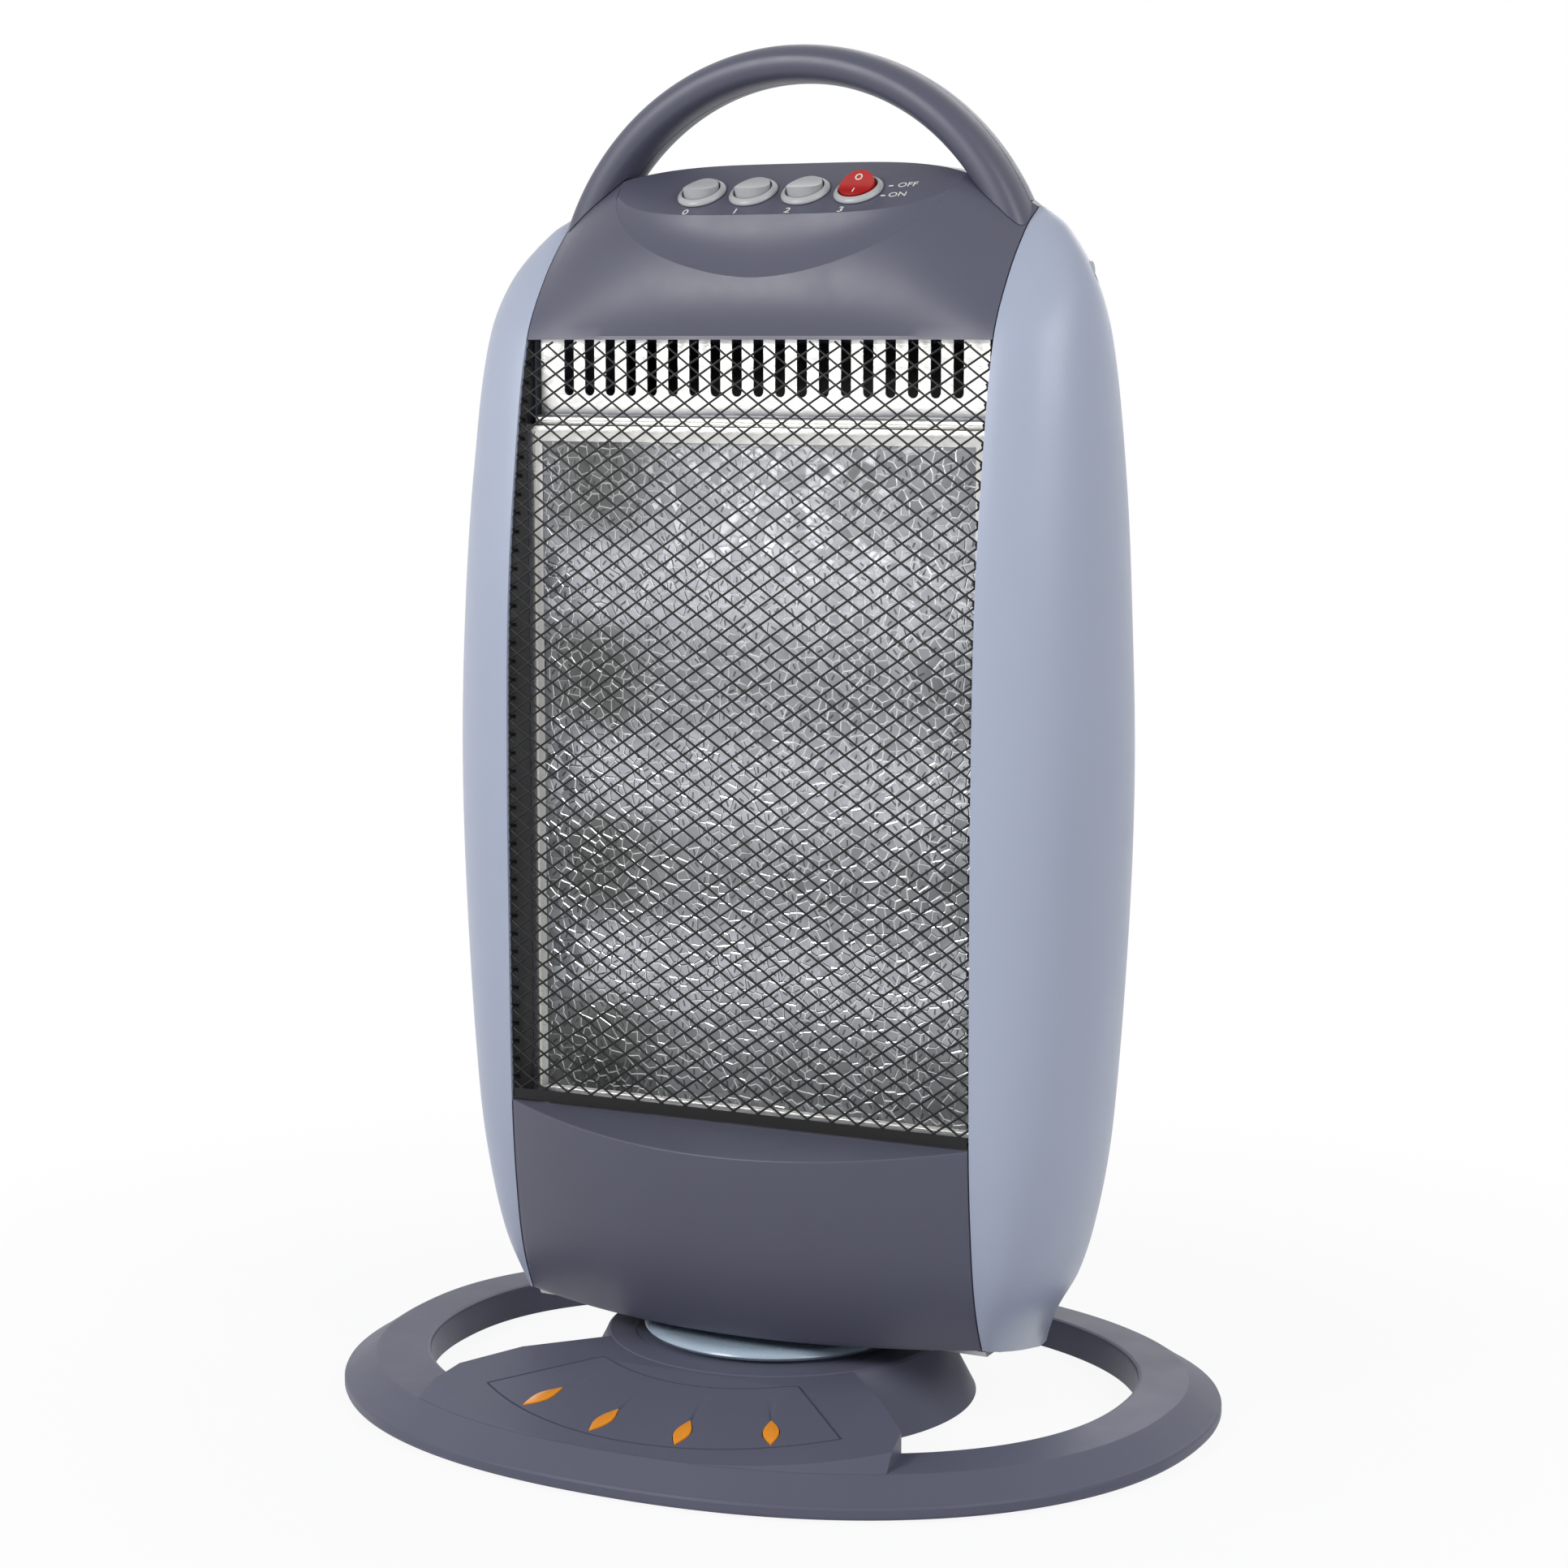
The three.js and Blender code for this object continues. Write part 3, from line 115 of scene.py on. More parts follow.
class HeaterWindowSizes(bpy.types.PropertyGroup):
    __annotations__ = entries(
        bottom=(0.115, "Height of the window's lower corners"),
        top=(0.412, "Height of the window's upper edge"),
        sag=(0.007, "How much lower the lower edge is in the middle"),
        diamond_width=(0.0104, "Width of one diamond of the guard"),
        diamond_height=(0.00715, "Height of one diamond of the guard"),
        wire=(0.00044, "Radius of the guard's strands"),
        slots=(19, "Number of slots in the vent plate"),
        slot_pitch=(0.0091, "Distance between the vent slots"),
        slot_width=(0.0042, "Width of one vent slot"),
        tube_pitch=(0.0747, "Distance between the heating tubes"),
        tube_middle=(0.2448, "Height of the middle tube"),
        tube_radius=(0.005, "Radius of a heating tube"),
        coil_turns=(64, "Turns of one filament"),
    )


class HeaterTopSizes(bpy.types.PropertyGroup):
    __annotations__ = entries(
        panel_tilt=(32.0, "Slope of the control panel"),
        panel_y=(-0.001, "Depth of the control panel's middle"),
        panel_z=(0.467, "Height of the control panel's middle"),
        switch_pitch=(0.022, "Distance between the switches"),
        bezel_radius=(0.0096, "Radius of a switch's bezel"),
        rocker_radius=(0.0069, "Radius of a round rocker"),
        rocker_tilt=(12.0, "Rest tilt of a rocker"),
        scoop_half_width=(0.072, "Half width of the hollow in front of the control panel"),
        scoop_lowest=(0.4288, "Height of the hollow's lowest point on the shell"),
        scoop_depth=(0.0020, "Depth of the hollow"),
        handle_radius=(0.0977, "Radius of the handle's arch at its middle"),
        handle_y=(0.0165, "Depth of the handle's middle plane"),
        handle_z=(0.4184, "Height of the arch's centre"),
        handle_thick=(0.0145, "Thickness of the handle in the arch's plane"),
        handle_deep=(0.026, "Width of the handle from front to rear"),
    )


class HeaterColours(bpy.types.PropertyGroup):
    __annotations__ = entries(
        dark_plastic=("555666", "Dark blue-grey of the covers and the handle"),
        base_plastic=("5d5f70", "Dark blue-grey of the base"),
        pale_plastic=("aab2c6", "Light blue-grey of the side panels"),
        rear_plastic=("9aa2b3", "Grey of the rear cover"),
        disc_plastic=("a5b6c6", "Pale blue of the swivel disc"),
        grey_plastic=("b4b6b8", "Light grey of the bezels and the rockers"),
        red_plastic=("b41009", "Red of the last rocker"),
        amber_plastic=("ff9d12", "Orange of the leaf inserts"),
        # black_plastic also paints the shade on the window's side walls and behind the vent slots
        black_plastic=("1c1c20", "Black of the inner plastic pieces"),
        black_wire=("0a0a0c", "Black of the guard's strands"),
        bright_sheet=("f6f5f2", "Plated sheet of the frame and the vent plate"),
        reflector_sheet=("e4e4e2", "Polished sheet behind the tubes"),
        steel=("a9abad", "Zinc plated steel"),
        pane_glass=("c9cccb", "Patterned glass"),
        tube_glass=("dbe7f4", "Quartz of the tubes"),
        ceramic=("f0ede6", "White ceramic of the end caps, and the printed marks"),
        rubber=("18181a", "Black rubber of the feet"),
        floor_paper=("dcdcde", "Colour of the floor"),
    )


GROUPS = {
    "heater_body": HeaterBodySizes,
    "heater_base": HeaterBaseSizes,
    "heater_window": HeaterWindowSizes,
    "heater_top": HeaterTopSizes,
    "heater_colours": HeaterColours,
}


class Sizes:
    """The scene's property groups by their short names, from body to colours."""

    def __getattr__(self, group):
        return getattr(bpy.context.scene, "heater_" + group)


sizes = Sizes()

# --- node trees


class Value:
    """A socket that takes part in sums."""

    def __init__(self, nodes, socket):
        self.nodes, self.socket = nodes, socket

    def math(self, operation, *others):
        return self.nodes.math(operation, self, *others)

    def __rsub__(self, other):
        return self.nodes.math("SUBTRACT", other, self)

    __add__ = __radd__ = partialmethod(math, "ADD")
    __mul__ = __rmul__ = partialmethod(math, "MULTIPLY")
    __sub__ = partialmethod(math, "SUBTRACT")
    __truediv__ = partialmethod(math, "DIVIDE")
    above = partialmethod(math, "GREATER_THAN")

    def ramp(self, low, high):
        """0 below low, 1 above high, straight between."""
        inputs = {"Value": self, "From Min": low, "From Max": high}
        return self.nodes.node("ShaderNodeMapRange", {"clamp": True}, inputs)

    def bell(self, middle, reach):
        """1 at a middle value, falling off to both sides."""
        offset = (self - middle) / reach
        return (offset * offset * -1.0).math("EXPONENT")


class Nodes:
    """A node tree that is filled by expressions."""

    def __init__(self, tree):
        self.tree = tree
        tree.nodes.clear()

    def node(self, kind, settings=None, inputs=None, output=0):
        """One node: its settings, then the values or links of its sockets."""
        made = self.tree.nodes.new(kind)
        for key, value in (settings or {}).items():
            if key == "stops":
                while len(made.color_ramp.elements) < len(value):
                    made.color_ramp.elements.new(0.5)
                for element, (place, tint) in zip(made.color_ramp.elements, value):
                    element.position, element.color = place, tint
            else:
                setattr(made, key, value)
        for key, value in (inputs or {}).items():
            self.plug(made.inputs[key], value)
        return Value(self, made.outputs[output]) if made.outputs else made

    def plug(self, socket, value):
        if isinstance(value, Value):
            self.tree.links.new(value.socket, socket)
        elif hasattr(value, "__len__"):
            socket.default_value = tuple(value)[:len(socket.default_value)]
        else:
            socket.default_value = value

    def math(self, operation, *terms):
        return self.node("ShaderNodeMath", {"operation": operation}, dict(enumerate(terms)))

    def parts(self, kind, whole):
        """The single values of a vector or a colour."""
        first = self.node(kind, {}, {0: whole})
        return [Value(self, socket) for socket in first.socket.node.outputs]

    def plain_rays(self):
        """1 for the rays that see the surroundings as plain white."""
        kinds = ("Camera", "Glossy", "Transmission")
        rays = [self.node("ShaderNodeLightPath", output=f"Is {kind} Ray") for kind in kinds]
        return rays[0].math("MAXIMUM", rays[1]).math("MAXIMUM", rays[2])


class Finish(Nodes):
    """A material with one Principled shader, in the colour that has its name."""

    def __init__(self, name, roughness, metallic=0.0, **uniform):
        self.material = bpy.data.materials.new("look_" + name)
        self.material.use_nodes = True
        super().__init__(self.material.node_tree)
        self.shader = self.tree.nodes.new("ShaderNodeBsdfPrincipled")
        self.end = self.node("ShaderNodeOutputMaterial", {}, {0: Value(self, self.shader.outputs[0])})
        self.base = self.material.diffuse_color = getattr(sizes.colours, name)
        self.feed(Base_Color=self.base, Roughness=roughness, Metallic=metallic, **uniform)

    def feed(self, **values):
        for key, value in values.items():
            self.plug(self.shader.inputs[key.replace("_", " ")], value)

    def noise(self, scale, detail=2.0, roughness=0.5, stretch=(1, 1, 1), move=(0, 0, 0)):
        where = self.node("ShaderNodeTexCoord", output="Object")
        place = self.node("ShaderNodeMapping", {}, {"Vector": where, "Scale": stretch, "Location": move})
        inputs = {"Vector": place, "Scale": scale, "Detail": detail, "Roughness": roughness}
        return self.node("ShaderNodeTexNoise", {}, inputs, "Fac")

    def mix(self, share, first, second):
        """Two colours mixed; 6, 7 and output 2 are the node's colour sockets."""
        return self.node("ShaderNodeMix", {"data_type": "RGBA"}, {0: share, 6: first, 7: second}, 2)

    def shade(self, factor):
        """The base colour made darker or lighter by a factor."""
        return (*(min(1.0, part * factor) for part in self.base[:3]), 1.0)

    def bump(self, height, distance, strength):
        inputs = {"Height": height, "Distance": distance, "Strength": strength}
        self.feed(Normal=self.node("ShaderNodeBump", {}, inputs, "Normal"))

    def axes(self):
        return self.parts("ShaderNodeSeparateXYZ", self.node("ShaderNodeTexCoord", output="Object"))


class Growth(Nodes):
    """A Geometry Nodes tree with named inputs, used once and then baked to a plain mesh."""

    def __init__(self, name, **given):
        super().__init__(bpy.data.node_groups.new(name, "GeometryNodeTree"))
        self.given = given
        interface = self.tree.interface
        for way in ("INPUT", "OUTPUT"):
            interface.new_socket("Geometry", in_out=way, socket_type="NodeSocketGeometry")
        for key, value in given.items():
            kind = "NodeSocketInt" if isinstance(value, int) else "NodeSocketFloat"
            interface.new_socket(key, in_out="INPUT", socket_type=kind)
        self.start = self.tree.nodes.new("NodeGroupInput")

    def size(self, key="Geometry"):
        return Value(self, self.start.outputs[key])

    def row(self, axis, start):
        """Copies of the seed along an axis, count of them at a pitch."""
        step = self.node("ShaderNodeCombineXYZ", {}, {axis: self.size("pitch")})
        inputs = {"Count": self.size("count"), "Start Location": start, "Offset": step}
        line = self.node("GeometryNodeMeshLine", {}, inputs)
        return self.node("GeometryNodeInstanceOnPoints", {}, {"Points": line, "Instance": self.size()})

    def wire(self, curve, resolution, radius):
        """A round wire along a curve."""
        profile = {"Resolution": resolution, "Radius": self.size(radius)}
        profile = self.node("GeometryNodeCurvePrimitiveCircle", {}, profile)
        inputs = {"Curve": curve, "Profile Curve": profile, "Fill Caps": True}
        return self.node("GeometryNodeCurveToMesh", {}, inputs)

    def grow(self, last, finish, mesh=None):
        real = self.node("GeometryNodeRealizeInstances", {}, {0: last})
        painted = self.node("GeometryNodeSetMaterial", {}, {"Geometry": real, "Material": material(finish)})
        self.node("NodeGroupOutput", {}, {0: painted})
        made = scratch(mesh or bpy.data.meshes.new("seed"))
        step = made.modifiers.new("growth", "NODES")
        step.node_group = self.tree
        for item in self.tree.interface.items_tree:
            if item.item_type == "SOCKET" and item.in_out == "INPUT" and item.name in self.given:
                step[item.identifier] = self.given[item.name]
        return baked(made)


# --- materials


def moulded(name, roughness, grain=0.00003, grain_scale=2600.0, **uniform):
    """Moulded plastic: a very fine spark grain, faint flow marks and handling haze."""
    finish = Finish(name, roughness, **uniform)
    flow = finish.noise(9.0, 3.0, 0.55, (1.0, 1.0, 0.35))
    haze = finish.noise(55.0, 4.0, 0.6)
    fine = finish.noise(grain_scale, 2.0, 0.6)
    finish.feed(Base_Color=finish.mix(flow.ramp(0.35, 0.65), finish.shade(0.965), finish.shade(1.035)))
    finish.feed(Roughness=haze.ramp(0.3, 0.7) * 0.07 + (roughness - 0.035))
    finish.bump(fine, grain, 0.55)


def plated(name, roughness, streak=(1.0, 1.0, 14.0), dull=0.86, band=None):
    """Bright sheet with drawn streaks, dents, stains and, at a band of heights, a painted dark reflection.
    """
    finish = Finish(name, roughness, 1.0)
    streaks = finish.noise(260.0, 3.0, 0.6, streak)
    stain = finish.noise(38.0, 5.0, 0.65)
    dents = finish.noise(24.0, 2.0, 0.4)
    tone = finish.mix(stain.ramp(0.42, 0.72), finish.base, finish.shade(dull))
    # painted reflection: a dark band of heights over the bead and the vent plate's lower edge
    if band:
        low, middle, high = band
        height = finish.axes()[2] + (dents - 0.5) * 0.002
        dark = height.ramp(low, middle) * (1.0 - height.ramp(middle, high)) * 0.85
        tone = finish.mix(dark, tone, (0.05, 0.06, 0.09, 1))
    wear = stain.ramp(0.5, 0.8) * 0.1 + (roughness - 0.06)
    finish.feed(Base_Color=tone, Roughness=streaks.ramp(0.3, 0.7) * 0.12 + wear)
    finish.bump(dents + streaks * 0.06, 0.0012, 0.5)


CELLS_PER_METRE = 215.0
ICE_STOPS = [
    (0.0, (0.035, 0.037, 0.036, 1)),
    (0.25, (0.12, 0.125, 0.12, 1)),
    (0.45, (0.24, 0.245, 0.24, 1)),
    (0.62, (0.42, 0.43, 0.44, 1)),
    (0.85, (0.80, 0.83, 0.88, 1)),
]


def patterned_glass(name):
    """Cracked-ice glass: flat polygons with pale outlines and short dark bars, with painted light over the
    tubes and a painted shade to one side.
    """
    finish = Finish(name, 0.12, Specular_IOR_Level=0.6)
    x, _, z = finish.axes()
    sway = finish.noise(90.0, 2.0, 0.5) - 0.5
    spot = finish.node("ShaderNodeCombineXYZ", {}, {0: x + sway * 0.0016, 1: z - sway * 0.0012, 2: 0.0})

    def cells(feature, output):
        settings = {"voronoi_dimensions": "2D", "feature": feature}
        inputs = {"Vector": spot, "Scale": CELLS_PER_METRE, "Randomness": 0.9}
        return finish.node("ShaderNodeTexVoronoi", settings, inputs, output)

    edge = cells("DISTANCE_TO_EDGE", "Distance")
    one, two, three = finish.parts("ShaderNodeSeparateColor", cells("F1", "Color"))
    there = finish.parts("ShaderNodeSeparateXYZ", spot)
    middle = finish.parts("ShaderNodeSeparateXYZ", cells("F1", "Position"))
    local_x, local_z = there[0] - middle[0], there[1] - middle[1]

    turn = one * 2.2 - 1.1
    cosine, sine = turn.math("COSINE"), turn.math("SINE")
    along = (local_z * cosine - local_x * sine).math("ABSOLUTE")
    aside = (local_x * cosine + local_z * sine + two * 0.0006 - 0.0003).math("ABSOLUTE")
    bar = (1.0 - along.ramp(0.0011, 0.0013)) * (1.0 - aside.ramp(0.00032, 0.00042)) * three.above(0.34)

    # painted light: brighter over each tube; painted shade: a darker patch to the left between them; rise
    # makes the glass lighter towards the top
    low, centre, high = [z.bell(tube_z(number), 0.021) for number in range(3)]
    painted_tube_light = low + centre + high
    painted_shade_lobe = x.bell(-0.067, 0.021) * (1.0 - painted_tube_light.ramp(0.15, 0.85))
    cloud = finish.noise(26.0, 3.0, 0.55, move=(0.31, 0.0, 0.12))
    rise = (z - tube_z(1)) * 0.55
    light = painted_tube_light * 0.24 + (one + two) * 0.10 + cloud * 0.20 + rise + 0.46 - painted_shade_lobe * 0.34
    ice = finish.node("ShaderNodeValToRGB", {"stops": ICE_STOPS}, {0: light})
    outline = 1.0 - edge.ramp(0.035, 0.075)
    barred = finish.mix(bar * 0.8, ice, (0.055, 0.057, 0.055, 1))
    pale = (outline * (light * 0.9 + 0.5)).math("MINIMUM", 1.0)
    finish.feed(
        Base_Color=finish.mix(pale, barred, (0.95, 0.97, 0.98, 1)),
        Alpha=(outline * 0.3 + three * 0.2 + bar * 0.3 + 0.68).math("MINIMUM", 1.0),
        Metallic=(outline * 0.7 + painted_tube_light * two.above(0.3) * 0.7).math("MINIMUM", 1.0),
        Roughness=two * 0.14 + 0.10,
    )
    facet = (local_x * (one - 0.5) + local_z * (two - 0.5)) * 260.0
    finish.bump(facet + edge.ramp(0.0, 0.09) * 0.4, 0.0007, 0.8)


def material(name):
    return bpy.data.materials["look_" + name]


class HEATER_OT_finishes(bpy.types.Operator):
    """Materials of all the pieces"""

    bl_idname = "heater.finishes"
    bl_label = "Finishes"

    def execute(self, context):
        moulded("dark_plastic", 0.40, Specular_IOR_Level=0.42)
        moulded("base_plastic", 0.45, Specular_IOR_Level=0.25)
        moulded("pale_plastic", 0.36, Specular_IOR_Level=0.45)
        moulded("rear_plastic", 0.42)
        moulded("disc_plastic", 0.26, Coat_Weight=0.3, Coat_Roughness=0.12)
        moulded("grey_plastic", 0.34)
        moulded("red_plastic", 0.25, Coat_Weight=0.15, Coat_Roughness=0.1)
        moulded("amber_plastic", 0.25, Coat_Weight=0.4, Coat_Roughness=0.1)
        moulded("black_plastic", 0.48, 0.00006, 1500.0)
        moulded("black_wire", 0.42, 0.00004, 3200.0, Specular_IOR_Level=0.35)
        # the band paints a dark reflection along the vent plate's bead
        plated("bright_sheet", 0.30, band=(0.3815, 0.3836, 0.3870))
        plated("reflector_sheet", 0.16, (14.0, 1.0, 1.0))
        plated("steel", 0.36, (6.0, 1.0, 6.0), 0.8)
        patterned_glass("pane_glass")
        quartz = Finish("tube_glass", 0.08, Alpha=0.55, Coat_Weight=0.6)
        quartz.feed(Roughness=quartz.noise(80.0, 3.0).ramp(0.3, 0.7) * 0.08 + 0.04)
        moulded("ceramic", 0.5, 0.00008, 900.0)
        moulded("rubber", 0.85, 0.00012, 1200.0)
        return {"FINISHED"}


# --- meshes

TURN = 2 * pi


def arc(steps, start=0.0, sweep=TURN):
    """Evenly spaced angles; those of a whole turn leave out the last one."""
    return [start + sweep * i / steps for i in range(steps if sweep == TURN else steps + 1)]


def shift(x, y, z):
    return Matrix.Translation((x, y, z))


def spin(angle, axis):
    return Matrix.Rotation(angle, 4, axis)


def bent(value, power):
    """A power of a value that keeps its sign."""
    return copysign(abs(value) ** power, value)


@contextmanager
def edited(mesh, *others):
    """A mesh that is open for edits, with the others added to it."""
    shape = bmesh.new()
    for part in (mesh, *others):
        shape.from_mesh(part)
    yield shape
    shape.to_mesh(mesh)
    shape.free()


def merged(*meshes):
    with edited(*meshes):
        return meshes[0]


def mesh_from(points, faces):
    mesh = bpy.data.meshes.new("shape")
    mesh.from_pydata([tuple(point) for point in points], [], faces)
    mesh.validate()
    with edited(mesh) as shape:
        bmesh.ops.remove_doubles(shape, verts=shape.verts, dist=1e-7)
        bmesh.ops.recalc_face_normals(shape, faces=shape.faces)
    return mesh


def rings_mesh(rings, caps=(), closed=False):
    """A skin over rings of as many points each, with flat or given ends, or joined to its own start."""
    count, total = len(rings[0]), len(rings)
    faces = []
    for k in range(total if closed else total - 1):
        m = (k + 1) % total
        for i in range(count):
            j = (i + 1) % count
            faces.append((k * count + i, k * count + j, m * count + j, m * count + i))
    if not (caps or closed):
        caps = [tuple(reversed(range(count))), tuple(range((total - 1) * count, total * count))]
    return mesh_from([point for ring in rings for point in ring], faces + list(caps))


def prism_mesh(outline, low, high, axis="z"):
    """A flat outline run along an axis: (x, y) up z, (y, z) along x, or (x, z) along y."""
    order = {"z": (0, 1, 2), "x": (2, 0, 1), "y": (0, 2, 1)}[axis]
    return rings_mesh([[[(*point, end)[k] for k in order] for point in outline] for end in (low, high)])


def box_mesh(x0, x1, y0, y1, z0, z1):
    return prism_mesh([(x0, y0), (x1, y0), (x1, y1), (x0, y1)], z0, z1)


def circle(radius, segments, x=0.0, y=0.0):
    return [(x + radius * cos(a), y + radius * sin(a)) for a in arc(segments)]


def rod_mesh(radius, low, high, x=0.0, y=0.0, segments=48, axis="z"):
    return prism_mesh(circle(radius, segments, x, y), low, high, axis)


def turned_mesh(profile, y=0.0, segments=96):
    """A closed list of (radius, height) points turned about the Z axis through (0, y)."""
    rings = [[(r * cos(a), y + r * sin(a), z) for r, z in profile] for a in arc(segments)]
    return rings_mesh(rings, closed=True)


def moved(mesh, matrix):
    mesh.transform(matrix)
    if matrix.determinant() < 0:
        mesh.flip_normals()
    return mesh


def placed(name, data):
    made = bpy.data.objects.new(name, data)
    bpy.context.scene.collection.objects.link(made)
    return made


scratch = partial(placed, "scratch")


def baked(made):
    """The object's evaluated mesh; the object itself goes."""
    bpy.context.view_layer.update()
    graph = bpy.context.evaluated_depsgraph_get()
    mesh = bpy.data.meshes.new_from_object(made.evaluated_get(graph))
    bpy.data.objects.remove(made)
    return mesh


def modified(mesh, kind, **settings):
    """A mesh with one modifier applied."""
    made = scratch(mesh)
    step = made.modifiers.new("step", kind)
    for key, value in settings.items():
        setattr(step, key, value)
    return baked(made)


def combined(operation, mesh, *others):
    for other in others:
        tool = scratch(other)
        mesh = modified(mesh, "BOOLEAN", operation=operation, solver="MANIFOLD", object=tool)
        bpy.data.objects.remove(tool)
    if not mesh.polygons:
        raise RuntimeError("a cut left nothing of a piece")
    return mesh


cut = partial(combined, "DIFFERENCE")
meet = partial(combined, "INTERSECT")
join = partial(combined, "UNION")


def bevelled(mesh, width, segments=2, angle=40):
    limit = {"limit_method": "ANGLE", "angle_limit": radians(angle)}
    return modified(mesh, "BEVEL", width=width, segments=segments, **limit)


def drawing_shift():
    """The sizes are drawn about the body's middle line; the origin is under the base's middle."""
    base = sizes.base
    return Vector((0, (base.front_depth - base.rear_depth) / 2, 0))


def piece(name, mesh, finish, replaces=(), body="heater", crease=32):
    """Shades a mesh, moves it into the row frame and makes it ride."""
    mesh = mesh.copy()
    mesh.name = name
    mesh.transform(Matrix.Translation(drawing_shift()))
    with edited(mesh) as shape:
        bmesh.ops.remove_doubles(shape, verts=shape.verts, dist=2e-6)
        bmesh.ops.dissolve_degenerate(shape, edges=shape.edges, dist=2e-6)
        for face in shape.faces:
            face.smooth = True
        for edge in shape.edges:
            edge.smooth = len(edge.link_faces) == 2 and edge.calc_face_angle(0) < radians(crease)
    mesh.materials.clear()
    mesh.materials.append(material(finish))
    made = placed(name, mesh)
    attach(made, body)
    if replaces:
        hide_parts(*replaces)


# --- body outline

# height, half width beyond the seam, front, rear and centre shift, all from 0 to 1
SHELL_ROWS = [
    (0.0, 0.03, 0.5, 0.62, 0.0),
    (0.032, 0.2, 0.69, 0.75, 0.0),
    (0.077, 0.49, 0.84, 0.88, 0.0),
    (0.139, 0.69, 0.93, 0.95, 0.0),
    (0.214, 0.82, 0.98, 1.0, 0.0),
    (0.375, 0.955, 1.0, 1.0, 0.0),
    (0.52, 1.0, 1.0, 1.0, 0.0),
    (0.66, 0.95, 0.96, 1.0, 0.0),
    (0.775, 0.875, 0.845, 0.96, 0.0),
    (0.889, 0.75, 0.64, 0.8, 0.0),
    (0.943, 0.58, 0.41, 0.55, 0.22),
    (0.984, 0.27, 0.2, 0.27, 0.76),
    (1.0, 0.03, 0.04, 0.06, 1.0),
]
CROWN_FRONT, CROWN_REAR = 0.014, 0.008  # how far the crown comes forward and goes back


def shell_value(column, height):
    """A column of the rows at a height, with a smooth curve through them."""
    rows = SHELL_ROWS
    k = 0
    while k < len(rows) - 2 and height > rows[k + 1][0]:
        k += 1

    def slope(i):
        low, high = rows[max(i - 1, 0)], rows[min(i + 1, len(rows) - 1)]
        return (high[column] - low[column]) / (high[0] - low[0])

    span = rows[k + 1][0] - rows[k][0]
    t = (height - rows[k][0]) / span
    rise = rows[k + 1][column] - rows[k][column]
    lead = span * slope(k) - rise
    trail = rise - span * slope(k + 1)
    return rows[k][column] + rise * t + t * (1 - t) * (lead * (1 - t) + trail * t)


def shell_section(z):
    """Centre, half width beyond the seam, front and rear reach at one height."""
    body = sizes.body
    h = min(1.0, max(0.0, (z - body.bottom) / (body.top - body.bottom)))
    side, front, rear, centre = [shell_value(column, h) for column in (1, 2, 3, 4)]
    centre = body.widest_y + (body.tip_y - body.widest_y) * centre
    return centre, (body.half_width - body.seam_x) * side, body.front_reach * front, body.rear_reach * rear


def front_y(z):
    centre, _, front, _ = shell_section(z)
    return centre - front


def half_section(z, inset):
    """Points round the right half of the shell at one height, from the front's middle to the back's."""
    seam = sizes.body.seam_x
    centre, side, front, rear = shell_section(z)
    side, front, rear = max(side - inset, 0.0002), max(front - inset, 0.0003), max(rear - inset, 0.0003)
    quarter = pi / 2
    points = [(seam * i / 20, centre - front) for i in range(20)]
    points += [(seam + side * sin(a), centre - front * cos(a)) for a in arc(18, 0, quarter)]
    points += [(seam + side * cos(a), centre + rear * sin(a)) for a in arc(16, 0, quarter)[1:]]
    return points + [(seam * (1 - i / 16), centre + rear) for i in range(1, 17)], centre


def eased(share, corner=0.7):
    """The lower one of a share and 1, with a round corner between them."""
    if abs(share - 1) >= corner:
        return min(1.0, share)
    return share - (share - 1 + corner) ** 2 / (4 * corner)


def crowned(x, y, z, centre):
    """Lifts and widens the top of the shell in its middle."""
    body, start = sizes.body, sizes.window.top
    middle = 1 - min(1.0, abs(x) / body.seam_x) ** 4
    lift = min(1.0, max(0.0, (z - start) / (body.top - start)))
    if y < centre:
        y -= CROWN_FRONT * eased(2 * lift) * middle
    else:
        y += CROWN_REAR * lift * middle
    return x, y, z + body.crown_rise * lift * middle


def strip_faces(front, rear, across):
    """Triangles between two chains of point numbers that run the same way across."""
    faces = []
    i = j = 0
    while i < len(front) - 1 or j < len(rear) - 1:
        last = j == len(rear) - 1
        if last or (i < len(front) - 1 and across[front[i + 1]] < across[rear[j + 1]]):
            faces.append((front[i], front[i + 1], rear[j]))
            i += 1
        else:
            faces.append((rear[j], front[i], rear[j + 1]))
            j += 1
    return [face for face in faces if len(set(face)) == 3]


def body_form(inset, levels=110):
    """The body's closed outer form, made smaller by an inset."""
    body = sizes.body
    rings = []
    for level in range(levels + 1):
        rise = (1 - cos(pi * level / levels)) / 2
        z = body.bottom + inset + (body.top - body.bottom - 2 * inset) * rise
        half, centre = half_section(z, inset)
        ring = half + [(-x, y) for x, y in reversed(half[1:-1])]
        rings.append([crowned(x, y, z, centre) for x, y in ring])
    count = len(ring)
    across = [point[0] for point in rings[0]]
    right, left = across.index(max(across)), across.index(min(across))
    low = strip_faces([*range(left, count), *range(right + 1)], list(range(left, right - 1, -1)), across)
    high = [tuple(levels * count + number for number in face) for face in low]
    return rings_mesh(rings, low + high)


def on_panel(mesh):
    """From the flat XY plane onto the tilted control panel."""
    top = sizes.top
    return moved(mesh, shift(0, top.panel_y, top.panel_z) @ spin(top.panel_tilt, "X"))


# --- base

OVAL_POWER = 2 / 2.19
OPENING = (0.1435, 0.111, 0.103)  # half width, front and rear depth of the ring's opening
BRIDGE_BEND, BRIDGE_END = -0.072, -0.1335  # where the front bridge starts to slope, and its end
HALL = 0.2  # beyond every piece, for cutters that run through
LEAF_RADIUS = 0.112  # of the leaves' places about the swivel axis


